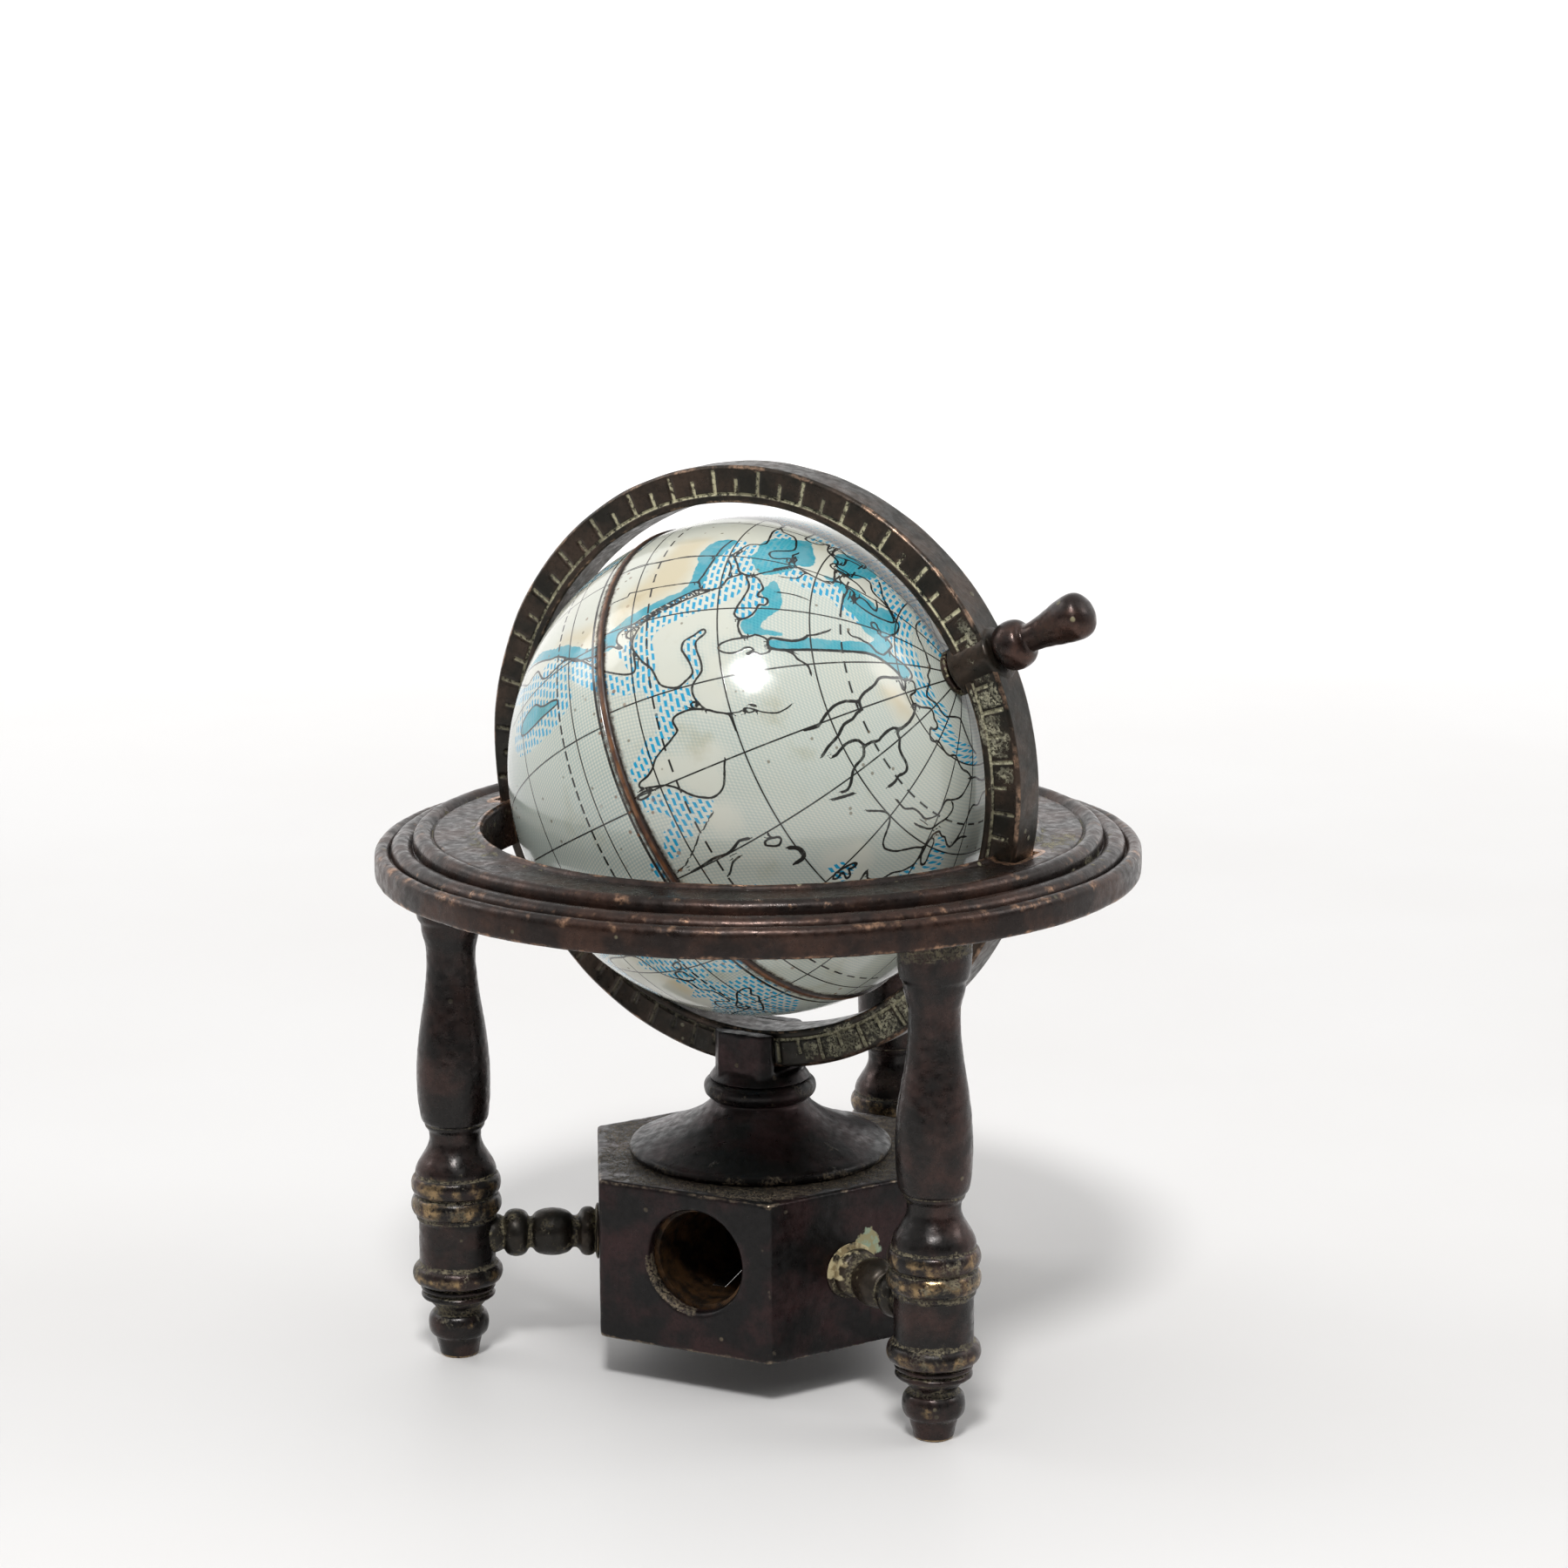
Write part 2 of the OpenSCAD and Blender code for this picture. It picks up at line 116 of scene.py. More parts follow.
def read_mesh(mesh, scale=MM):
    """Points and faces of a mesh whose own lengths are the scale times a millimetre's."""
    co = np.zeros(len(mesh.vertices) * 3)
    mesh.vertices.foreach_get("co", co)
    return co.reshape(-1, 3) / scale, [list(p.vertices) for p in mesh.polygons]


def section_of(node, origin, axis, loop=False):
    """Ordered (radius, height) points of a turned CAD node, in millimetres, and whether they close."""
    merge_distance, fewest = 0.035, 12
    mesh = frame["nodes"][node].data
    rel = read_mesh(mesh)[0] - origin
    height = rel @ axis
    radius = np.linalg.norm(rel - height[:, None] * axis, axis=1)
    keys = [tuple(k) for k in np.round(np.stack([radius, height], 1), 2)]
    counts = {}
    for key in keys:
        counts[key] = counts.get(key, 0) + 1
    same, rings = {}, []
    for key in sorted(counts, key=counts.get, reverse=True):
        same[key] = next((ring for ring in rings if math.dist(ring, key) < merge_distance), key)
        if same[key] == key:
            rings.append(key)
    keys = [same[key] for key in keys]
    counts = {ring: keys.count(ring) for ring in rings}
    links = {key: set() for key, count in counts.items() if count >= fewest}
    joins = {}
    for a, b in mesh.edge_keys:
        pair = frozenset((keys[a], keys[b]))
        joins[pair] = joins.get(pair, 0) + 1
    for pair, count in joins.items():
        if len(pair) == 2 and count >= fewest and all(key in links for key in pair):
            a, b = pair
            links[a].add(b)
            links[b].add(a)
    ends = [key for key, near in links.items() if len(near) == 1]
    here = min(ends or links, key=lambda k: (k[1], k[0]))
    path = [here]
    while True:
        ahead = [k for k in links[here] if k not in path]
        if not ahead:
            break
        here = min(ahead, key=lambda k: math.dist(k, here))
        path.append(here)
    return np.array(path), loop or not ends


def smoothed(path, closed=False, step=0.14, corner=38.0, soften=0.05):
    """The path as even steps: soft curves through its gentle points, and slightly rounded corners.

    A corner turns by more than the given degrees; step and soften are in millimetres.
    """
    fine_step = 0.04
    path = np.asarray(path, float)
    ring = np.vstack([path[-1:], path, path[:2]]) if closed else np.vstack([path[:1], path, path[-1:]])
    steps = np.diff(ring, axis=0)
    lengths = np.maximum(np.linalg.norm(steps, axis=1), 1e-9)
    heading = steps / lengths[:, None]
    turn = np.degrees(np.arccos(np.clip((heading[:-1] * heading[1:]).sum(1), -1, 1)))
    out = []
    for k in range(1, len(ring) - 1 - (1 if closed else 0)):
        if k + 1 >= len(ring) or (not closed and k == len(ring) - 2):
            break
        a, b = ring[k], ring[k + 1]
        size = lengths[k]
        sharp_a = turn[k - 1] > corner or (not closed and k == 1)
        sharp_b = turn[k] > corner if k < len(turn) else True
        slope_a = (b - a) if sharp_a else (ring[k + 1] - ring[k - 1]) / (lengths[k - 1] + size) * size
        far = ring[min(k + 2, len(ring) - 1)]
        after = lengths[min(k + 1, len(lengths) - 1)]
        slope_b = (b - a) if sharp_b else (far - a) / (size + after) * size
        for t in np.linspace(0, 1, max(2, int(size / fine_step)), endpoint=False):
            h = (2 * t**3 - 3 * t**2 + 1, t**3 - 2 * t**2 + t, 3 * t**2 - 2 * t**3, t**3 - t**2)
            out.append(h[0] * a + h[1] * slope_a + h[2] * b + h[3] * slope_b)
    out.append(path[0] if closed else path[-1])
    dense = np.array(out)
    travel = np.concatenate([[0], np.cumsum(np.linalg.norm(np.diff(dense, axis=0), axis=1))])
    count = max(4, int(round(travel[-1] / step)))
    at = np.linspace(0, travel[-1], count + 1)
    even = np.stack([np.interp(at, travel, dense[:, c]) for c in range(dense.shape[1])], 1)
    if closed:
        even = even[:-1]
    for _ in range(max(1, int(soften / step * 8))):
        if closed:
            even = even * 0.5 + (np.roll(even, 1, 0) + np.roll(even, -1, 0)) * 0.25
        else:
            even[1:-1] = even[1:-1] * 0.5 + (even[:-2] + even[2:]) * 0.25
    return even


def basis(axis, start=None):
    """Two unit vectors across the axis, the first one nearest to start."""
    start = UP if start is None else start
    if abs(axis @ start) > 0.95:
        start = np.array([1.0, 0.0, 0.0])
    first = unit(start - axis * (start @ axis))
    return first, np.cross(axis, first)


def turned(section, closed, origin, axis, columns, start=None):
    """Points and faces of a section of (radius, height) points turned about an axis."""
    first, second = basis(axis, start)
    angle = np.linspace(0, 2 * math.pi, columns, endpoint=False)
    around = np.cos(angle)[:, None] * first + np.sin(angle)[:, None] * second
    points = section[:, 0, None, None] * around[None] + section[:, 1, None, None] * axis + origin
    points = points.reshape(-1, 3)
    rows = len(section)
    faces = grid_faces(rows, columns, close_rows=closed)
    if not closed:
        for row, outward in ((0, False), (rows - 1, True)):
            ring = list(range(row * columns, (row + 1) * columns))
            points = np.vstack([points, origin + section[row, 1] * axis])
            hub = len(points) - 1
            for j in range(columns):
                pair = (ring[j], ring[(j + 1) % columns])
                faces.append([*pair, hub] if outward else [pair[1], pair[0], hub])
    return points, faces


def edge_array(faces):
    """Each edge once, as a pair of point numbers."""
    pairs = []
    for size in (3, 4):
        chosen = np.array([face for face in faces if len(face) == size]).reshape(-1, size)
        pairs += [chosen[:, [k, (k + 1) % size]] for k in range(size)]
    pairs = np.sort(np.concatenate(pairs), axis=1).astype(np.int64)
    count = pairs.max() + 1
    codes = np.unique(pairs[:, 0] * count + pairs[:, 1])
    return np.stack([codes // count, codes % count], 1)


def point_normals(points, faces):
    """Each point's unit normal, from the triangles and quads round it."""
    quads = np.array([f if len(f) == 4 else [*f, f[-1]] for f in faces if len(f) < 5])
    cross = np.cross(points[quads[:, 2]] - points[quads[:, 0]], points[quads[:, 3]] - points[quads[:, 1]])
    normals = np.zeros_like(points)
    for corner in range(4):
        np.add.at(normals, quads[:, corner], cross)
    return normals / np.maximum(np.linalg.norm(normals, axis=1), 1e-12)[:, None]


def spread(values, edges, count, passes):
    """Averages values with their neighbours along the mesh's edges."""
    degree = np.bincount(edges.ravel(), minlength=count).astype(float)
    values = values.astype(float)
    for _ in range(passes):
        total = np.zeros_like(values)
        for c in range(values.shape[1]):
            total[:, c] = np.bincount(edges[:, 0], values[edges[:, 1], c], count)
            total[:, c] += np.bincount(edges[:, 1], values[edges[:, 0], c], count)
        values = values * 0.5 + 0.5 * total / np.maximum(degree, 1)[:, None]
    return values


def relief(points, faces, passes=14):
    """How far each point stands above its smoothed surroundings: ridges positive, grooves negative."""
    edges = edge_array(faces)
    smooth = spread(points, edges, len(points), passes)
    height = ((points - smooth) * point_normals(points, faces)).sum(1)
    full_height = 0.2
    return np.clip(height / full_height, -1, 1)


def waves(points, size, seed, count=24):
    """A smooth random field between about -1 and 1, with features of the given size."""
    rng = np.random.default_rng(seed)
    directions = rng.normal(size=(count, 3))
    directions /= np.linalg.norm(directions, axis=1)[:, None]
    rates = 2 * math.pi / (size * rng.uniform(0.7, 1.8, count))
    phases = rng.uniform(0, 2 * math.pi, count)
    return np.sin(points @ (directions * rates[:, None]).T + phases).sum(1) / math.sqrt(count)


def weathered(points, faces, seed, dent=0.03, grain=0.012):
    """Moves points along their normals as a rough casting's skin does, and gives their relief."""
    dent_size, grain_size = 6.0, 1.1
    normals = point_normals(points, faces)
    height = dent * waves(points, dent_size, seed) + grain * waves(points, grain_size, seed + 1)
    moved = points + normals * np.minimum(height, 0.6 * dent)[:, None]
    return moved, relief(moved, faces)


def remeshed(node, voxel, passes):
    """Even, slightly rounded points and faces of a CAD node."""
    mesh = frame["nodes"][node].data.copy()
    scratch = put("scratch", mesh)
    weld = scratch.modifiers.new("weld", "WELD")
    weld.merge_threshold = 1e-6
    remesh = scratch.modifiers.new("remesh", "REMESH")
    remesh.mode = "VOXEL"
    remesh.voxel_size = voxel * MM
    soft = scratch.modifiers.new("soft", "SMOOTH")
    soft.iterations = passes
    soft.factor = 0.5
    depsgraph = bpy.context.evaluated_depsgraph_get()
    done = bpy.data.meshes.new_from_object(scratch.evaluated_get(depsgraph))
    bpy.data.objects.remove(scratch)
    return read_mesh(done)


# ---- Material helpers ----


def new_material(name):
    material = bpy.data.materials.new(name)
    material.use_nodes = True
    return material, material.node_tree, material.node_tree.nodes["Principled BSDF"]


def feed(tree, made, inputs):
    """Links or sets a node's inputs."""
    for key, value in inputs.items():
        if isinstance(value, bpy.types.NodeSocket):
            tree.links.new(value, made.inputs[key])
        else:
            made.inputs[key].default_value = value


def node(tree, kind, inputs, **settings):
    made = tree.nodes.new(kind)
    for key, value in settings.items():
        setattr(made, key, value)
    feed(tree, made, inputs)
    return made


def calc(tree, operation, a, b=0.0, clamp=False):
    inputs = {0: a, 1: b}
    return node(tree, "ShaderNodeMath", inputs, operation=operation, use_clamp=clamp).outputs[0]


def times(tree, a, b):
    return calc(tree, "MULTIPLY", a, b)


def plus(tree, a, b):
    return calc(tree, "ADD", a, b)


def minus(tree, a, b):
    return calc(tree, "SUBTRACT", a, b)


def most(tree, a, b):
    return calc(tree, "MAXIMUM", a, b)


def apart(tree, a, b):
    """How far apart two values are."""
    return calc(tree, "ABSOLUTE", minus(tree, a, b))


def blend(tree, share, a, b, mode="MIX"):
    """One colour over another, by a share from 0 to 1."""
    inputs = {0: share, 6: a, 7: b}
    return node(tree, "ShaderNodeMix", inputs, data_type="RGBA", blend_type=mode).outputs[2]


def rise(tree, value, low, high, bottom=0.0, top=1.0):
    """Goes smoothly from bottom to top as the value goes from low to high."""
    inputs = {"Value": value, "From Min": low, "From Max": high, "To Min": bottom, "To Max": top}
    return node(tree, "ShaderNodeMapRange", inputs, interpolation_type="SMOOTHSTEP").outputs[0]


def read(tree, key, output="Fac"):
    """What make_piece stored on the points under this name."""
    return node(tree, "ShaderNodeAttribute", {}, attribute_name=key).outputs[output]


def place(tree):
    """Where a point lies in its piece's own space, in metres."""
    return node(tree, "ShaderNodeTexCoord", {}).outputs["Object"]


def grain(tree, size, detail=3.0, roughness=0.55, shift=0.0):
    """Noise with features of a size in millimetres."""
    moved = node(tree, "ShaderNodeVectorMath", {0: place(tree), 1: (shift, shift * 0.7, -shift)}).outputs[0]
    inputs = {"Vector": moved, "Scale": 1.0 / (size * MM), "Detail": detail, "Roughness": roughness}
    return node(tree, "ShaderNodeTexNoise", inputs).outputs[0]


def jitter(tree, amount, *noise):
    """Noise about zero; what grain takes follows the amount."""
    return times(tree, minus(tree, grain(tree, *noise), 0.5), amount)


def specks(tree, size, share, shift=0.0):
    """1 inside small irregular spots, which cover about the given share of the surface."""
    moved = node(tree, "ShaderNodeVectorMath", {0: place(tree), 1: (shift, -shift, shift * 0.4)}).outputs[0]
    inputs = {"Vector": moved, "Scale": 1.0 / (size * MM), "Randomness": 1.0}
    cells = node(tree, "ShaderNodeTexVoronoi", inputs, feature="F1")
    chance = node(tree, "ShaderNodeSeparateColor", {0: cells.outputs["Color"]}).outputs[0]
    chosen = calc(tree, "LESS_THAN", chance, share)
    near = rise(tree, cells.outputs["Distance"], 0.34, 0.18)
    return times(tree, chosen, near)


def bump(tree, height, depth, strength, under=None):
    """A bump of the given depth in millimetres."""
    inputs = {"Height": height, "Distance": depth * MM, "Strength": strength}
    if under is not None:
        inputs["Normal"] = under
    return node(tree, "ShaderNodeBump", inputs).outputs[0]


def dulled(colour):
    """The colour at four tenths of its strength."""
    return tuple(0.4 * v for v in colour[:3]) + (1,)


def patina(name, dark, mid, rub, dust, rubbed, dusty, rough=0.33, mottle=1.5,
           crust_tones=((0.40, 0.36, 0.20, 1), (0.36, 0.46, 0.33, 1))):
    """Old bronze-coloured zinc: dark mottled skin, grooves darkened with painted shade, rubbed ridges, and
    dust dried into the grooves.

    Besides the relief, the pieces can carry dust (more of it there), worn (more rubbed there), paint
    (filled engraving) and verdigris (pale green crust).
    """
    material, tree, shader = new_material(name)
    height = read(tree, "relief")
    broad = grain(tree, 4.0, 4.0)
    fine = grain(tree, 0.4, 4.0, 0.65, 0.013)
    colour = blend(tree, rise(tree, broad, 0.4, 0.66), dark, mid)
    blotches = times(tree, rise(tree, fine, 0.42, 0.7), 0.4)
    colour = blend(tree, blotches, colour, dulled(dark))
    # Painted shade: the deeper a groove, the nearer its colour goes to black.
    painted_groove_shade = rise(tree, height, -0.05, -0.5, 0.0, 0.75)
    colour = blend(tree, painted_groove_shade, colour, (0.006, 0.005, 0.004, 1))
    patchy = jitter(tree, mottle, 1.7, 3.0, 0.6, 0.031)
    ridge = plus(tree, plus(tree, height, read(tree, "worn")), patchy)
    worn = rise(tree, ridge, 0.85 - 0.6 * rubbed, 1.2 - 0.6 * rubbed)
    worn = times(tree, worn, rise(tree, fine, 0.34, 0.56))
    colour = blend(tree, worn, colour, rub)
    spread_noise = jitter(tree, 2.2, 2.1, 5.0, 0.68, 0.057)
    groove = minus(tree, plus(tree, spread_noise, read(tree, "dust")), height)
    dried = rise(tree, groove, 0.95 - 0.6 * dusty, 1.2 - 0.6 * dusty)
    crumbs = rise(tree, grain(tree, 0.24, 3.0, 0.7, 0.083), 0.4, 0.58)
    dried = times(tree, dried, crumbs)
    dried = most(tree, dried, times(tree, specks(tree, 0.8, 0.012, 0.01), 0.6))
    mixed = rise(tree, grain(tree, 0.9, 2.0, 0.5, 0.02), 0.4, 0.62)
    colour = blend(tree, dried, colour, blend(tree, mixed, dust, dulled(dust)))
    unchipped = rise(tree, grain(tree, 0.45, 4.0, 0.7, 0.064), 0.38, 0.56)
    filled = times(tree, read(tree, "paint"), unchipped)
    colour = blend(tree, filled, colour, (0.62, 0.58, 0.38, 1))
    crust = rise(tree, plus(tree, read(tree, "verdigris"), patchy), 0.5, 0.62)
    pale = rise(tree, grain(tree, 0.8, 3.0, 0.6, 0.047), 0.42, 0.56)
    colour = blend(tree, crust, colour, blend(tree, pale, *crust_tones))
    matt = most(tree, most(tree, dried, filled), crust)
    skin_metal, worn_metal = 0.6, 0.95
    shine = rise(tree, worn, 0.0, 1.0, skin_metal, worn_metal)
    metallic = times(tree, minus(tree, 1.0, matt), shine)
    worn_rough = rise(tree, grain(tree, 0.8, 3.0, 0.6, 0.044), 0.3, 0.7, rough - 0.07, rough + 0.15)
    roughness = calc(tree, "ADD", worn_rough, times(tree, matt, 0.45), clamp=True)
    skin = bump(tree, grain(tree, 0.2, 3.0, 0.6, 0.071), 0.04, 0.3)
    skin = bump(tree, grain(tree, 1.3, 3.0, 0.55, 0.035), 0.12, 0.3, skin)
    skin = bump(tree, matt, 0.08, 0.5, skin)
    feed(tree, shader, {"Base Color": colour, "Metallic": metallic, "Roughness": roughness, "Normal": skin})
    return material


def plain_metal(name, first, second, size, rough, metal):
    """Two mottled tones of one metal, with fine scratches."""
    material, tree, shader = new_material(name)
    colour = blend(tree, rise(tree, grain(tree, size, 4.0, 0.6), 0.38, 0.64), first, second)
    roughness = rise(tree, grain(tree, 0.5, 3.0), 0.3, 0.7, rough - 0.08, rough + 0.12)
    scratches = bump(tree, grain(tree, 0.25, 3.0), 0.03, 0.4)
    feed(tree, shader, {"Base Color": colour, "Metallic": metal, "Roughness": roughness, "Normal": scratches})
    return material


# ---- Camera, floor and lights ----

# Millimetres and degrees, rounded from a fit to the photo
CAMERA_AT = (162.7, -310.2, 124.0)
CAMERA_AZIMUTH, CAMERA_PITCH, CAMERA_ROLL = 27.31, 11.79, -0.304
CAMERA_LENS = 95.33
# Away from the photo's side of the object, and toward that side and down
BEHIND, ROOM_FRONT = (-0.449, 0.870, 0.0), (0.449, -0.870, -0.7)
ROOM_LIGHT, KEY_WATTS, SIDE_WATTS = 0.8, 5.0, 1.5


def make_camera():
    data = bpy.data.cameras.new("camera")
    data.lens = CAMERA_LENS
    data.sensor_width = 36.0
    data.clip_start = 0.01
    camera = put("camera", data)
    aim = Euler((math.radians(90 - CAMERA_PITCH), 0, math.radians(CAMERA_AZIMUTH))).to_matrix()
    aim = aim @ Matrix.Rotation(math.radians(CAMERA_ROLL), 3, "Z")
    camera.matrix_world = Matrix.Translation(Vector(CAMERA_AT) * MM) @ aim.to_4x4()
    bpy.context.scene.camera = camera


def floor_material():
    material, tree, shader = new_material("pale_floor")
    mottle = rise(tree, grain(tree, 90.0, 3.0), 0.3, 0.7)
    colour = blend(tree, mottle, (0.64, 0.628, 0.618, 1), (0.66, 0.652, 0.645, 1))
    away = node(tree, "ShaderNodeVectorMath", {0: place(tree), 1: BEHIND}, operation="DOT_PRODUCT")
    # Painted glow: the floor emits light, more of it the farther it lies behind the object, brightening the
    # backdrop.
    painted_floor_glow = rise(tree, away.outputs["Value"], 0.0, 0.9, 0.0, 0.75)
    feed(tree, shader, {"Base Color": colour, "Roughness": 0.55, "Emission Color": (1, 1, 1, 1),
                        "Emission Strength": painted_floor_glow})
    return material


def make_floor():
    """A sheet that lies flat under the object and curves up far behind it."""
    columns = 96
    radii = [0.02, 0.05, 0.09, 0.14, 0.2, 0.28, 0.38, 0.5] + [0.5 + 0.08 * k for k in range(1, 21)]
    angle = np.linspace(0, 2 * math.pi, columns, endpoint=False)
    behind = np.clip((np.cos(angle - math.radians(90 + CAMERA_AZIMUTH)) + 0.25) / 0.9, 0, 1)
    points = [(0.0, 0.0, 0.0)]
    flat_radius, steepness, bend = 0.6, 0.75, 1.6
    for radius in radii:
        lift = steepness * max(0.0, radius - flat_radius) ** bend
        points += [(radius * math.cos(a), radius * math.sin(a), lift * b) for a, b in zip(angle, behind)]
    faces = [[0, 1 + j, 1 + (j + 1) % columns] for j in range(columns)]
    faces += [[1 + k for k in reversed(quad)] for quad in grid_faces(len(radii), columns)]
    mesh = bpy.data.meshes.new("floor")
    mesh.from_pydata(points, [], faces)
    mesh.polygons.foreach_set("use_smooth", [True] * len(mesh.polygons))
    mesh.materials.append(floor_material())
    put("floor", mesh)


def area_light(name, azimuth, elevation, distance, size, watts):
    """A round softbox that looks at the globe from a direction in degrees; its lengths are in metres."""
    az, el = math.radians(azimuth), math.radians(elevation)
    direction = Vector((math.cos(el) * math.cos(az), math.cos(el) * math.sin(az), math.sin(el)))
    data = bpy.data.lights.new(name, "AREA")
    data.shape = "DISK"
    data.size = size
    data.energy = watts
    light = put(name, data)
    light.location = direction * distance + Vector(CENTRE * MM)
    light.rotation_euler = direction.to_track_quat("Z", "Y").to_euler()


def make_world():
    """A white room. Its front is dim in reflections, for contrast on dark metal, and grey to the camera."""
    world = bpy.data.worlds.new("studio")
    world.use_nodes = True
    tree = world.node_tree
    toward = node(tree, "ShaderNodeTexCoord", {}).outputs["Generated"]
    front = node(tree, "ShaderNodeVectorMath", {0: toward, 1: ROOM_FRONT}, operation="DOT_PRODUCT")
    dim = rise(tree, front.outputs["Value"], -0.45, 0.5)
    colour = blend(tree, dim, (1.0, 1.0, 1.0, 1), (0.09, 0.09, 0.095, 1))
    past_floor = times(tree, node(tree, "ShaderNodeLightPath", {}).outputs["Is Camera Ray"], dim)
    colour = blend(tree, past_floor, colour, (0.42, 0.42, 0.415, 1))
    feed(tree, tree.nodes["Background"], {"Color": colour, "Strength": ROOM_LIGHT})
    bpy.context.scene.world = world


def make_lights():
    make_world()
    bpy.context.scene.view_settings.view_transform = "Standard"
    area_light("key", -67, 53, 0.8, 0.16, KEY_WATTS)
    area_light("left_box", -172, 35, 0.9, 0.45, SIDE_WATTS)
    area_light("right_box", 28, 35, 0.9, 0.45, SIDE_WATTS)


# ---- Bronze stand ----

LEGS = ("leg_front_right", "leg_front_left", "leg_rear")
STRETCHERS = {"stretcher_front_right": -30.0, "stretcher_front_left": 210.0, "stretcher_rear": 90.0}


def heading(degrees):
    """A level direction, counted from x toward y."""
    return np.array([math.cos(math.radians(degrees)), math.sin(math.radians(degrees)), 0.0])


def middle(node_name):
    """The middle of a CAD node's box, in millimetres."""
    low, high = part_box(node_name)
    return (np.array(low) + np.array(high)) / 2 / MM


# Where dust lies on a leg: thin lines in its grooves, and more of it on the tori and under the ring
LEG_GROOVES = (4.15, 5.25, 5.96, 6.65, 8.55, 12.75, 14.8, 16.68, 21.22, 39.25, 41.9)
LEG_DUST_HEIGHTS = (0, 3, 4, 8.6, 9.2, 12.2, 12.6, 16.8, 18, 20.4, 21, 22, 40, 41.6, 43.5)
LEG_DUST_SHARES = (0.0, 0.3, 0.65, 0.65, 0.25, 0.25, 0.65, 0.65, 0.2, 0.15, 0.3, -0.4, -0.4, 0.7, 1.1)
# Where its casting is rubbed bright
LEG_WORN_HEIGHTS = (0, 2, 2.6, 3.4, 4.6, 5.2, 6.4, 6.9, 7.6, 8.3, 9, 12.5, 13.2, 14, 15, 15.8, 16.5, 17.2,
                    18.6, 20, 43)
LEG_WORN_SHARES = (0, 0.1, 0.32, 0.3, 0, -0.3, -0.3, 0.3, 0.42, 0.15, 0.0, 0.0, 0.3, 0.48, 0.3, 0.42, 0.3,
                   0.2, 0.15, 0, 0)


def make_leg(name, seed, material):
    axis_at = middle(name) * np.array([1, 1, 0])
    section, closed = section_of(name, axis_at, UP)
    points, faces = turned(smoothed(section, closed, step=0.1, soften=0.01), closed, axis_at, UP, 112)
    z = points[:, 2]
    line_width, line_dust = 0.11, 0.75
    lines = np.exp(-((z[:, None] - np.array(LEG_GROOVES)) / line_width) ** 2).max(1)
    dust = np.interp(z, LEG_DUST_HEIGHTS, LEG_DUST_SHARES) + line_dust * lines
    points, height = weathered(points, faces, seed, dent=0.025)
    points[:, 2] = np.maximum(points[:, 2], 0.0)
    worn = np.interp(z, LEG_WORN_HEIGHTS, LEG_WORN_SHARES)
    make_piece(name + "_cast", points, faces, "stand", material, [name],
               values={"relief": height, "dust": dust, "worn": worn})


def make_stretcher(name, degrees, leg_reach, seed, material):
    """The beaded bar, whose flange runs a little way into the leg's drum."""
    axis = heading(degrees)
    axis_at = UP * middle(name)[2]
    section, _ = section_of(name, axis_at, axis)
    flange_r, pin_r = 1.75, 0.9
    section = section[section[:, 1] < leg_reach - 0.5]
    tail = [(flange_r, leg_reach), (flange_r, leg_reach + 0.9), (pin_r, leg_reach + 1.0)]
    section = smoothed(np.vstack([section, tail]), step=0.12)
    points, faces = turned(section, False, axis_at, axis, 80)
    points, height = weathered(points, faces, seed, dent=0.02)
    reach = points @ axis
    values = {"relief": height, "dust": np.interp(reach, (14, 16, 18, 24), (0.75, 0.6, 0.5, 0.65))}
    if name == "stretcher_front_right":
        crust = np.interp(reach, (15.2, 16.6, 17.4), (0.62, 0.4, 0.0))
        values["verdigris"] = crust * np.clip(points[:, 2] - 10, 0, 1)
    make_piece(name + "_cast", points, faces, "stand", material, [name],
               values=values)


def cut_away(points, faces, tools):
    """Points and faces after boolean cuts with a few closed meshes given as (points, faces)."""
    base = bpy.data.meshes.new("base")
    base.from_pydata(np.asarray(points).tolist(), [], faces)
    body = put("base", base)
    cutters = []
    for number, (tool_points, tool_faces) in enumerate(tools):
        tool = bpy.data.meshes.new(f"tool{number}")
        tool.from_pydata(np.asarray(tool_points).tolist(), [], tool_faces)
        cutter = put(f"tool{number}", tool)
        cut = body.modifiers.new(f"cut{number}", "BOOLEAN")
        cut.operation = "DIFFERENCE"
        cut.solver = "EXACT"
        cut.object = cutter
        cutters.append(cutter)
    depsgraph = bpy.context.evaluated_depsgraph_get()
    done = bpy.data.meshes.new_from_object(body.evaluated_get(depsgraph))
    for thing in [body, *cutters]:
        bpy.data.objects.remove(thing)
    mesh = bmesh.new()
    mesh.from_mesh(done)
    bmesh.ops.triangulate(mesh, faces=[f for f in mesh.faces if len(f.verts) > 4])
    mesh.to_mesh(done)
    mesh.free()
    return read_mesh(done, 1.0)


def block(centre, along, half_sizes):
    """A box whose first side lies along a level direction."""
    across = np.cross(UP, along)
    corners = [centre + sx * half_sizes[0] * along + sy * half_sizes[1] * across + sz * half_sizes[2] * UP
               for sx in (-1, 1) for sy in (-1, 1) for sz in (-1, 1)]
    faces = [[0, 1, 3, 2], [4, 6, 7, 5], [0, 4, 5, 1], [2, 3, 7, 6], [0, 2, 6, 4], [1, 5, 7, 3]]
    centre_out = np.array(corners)[faces[0]].mean(0) - centre
    a, b, c = np.array(corners)[faces[0][:3]]
    if np.cross(b - a, c - b) @ centre_out < 0:
        faces = [face[::-1] for face in faces]
    return np.array(corners), faces


# How dusty the top of the horizon ring is, around it from its right side
RING_DUST_ANGLES = (0, 12, 25, 60, 150, 172, 200, 235, 262, 300, 345, 356, 360)
RING_DUST_SHARES = (0.6, 0.55, 0.25, 0.1, 0.15, 0.4, 0.35, 0.35, 0.12, 0.05, 0.15, 0.5, 0.6)


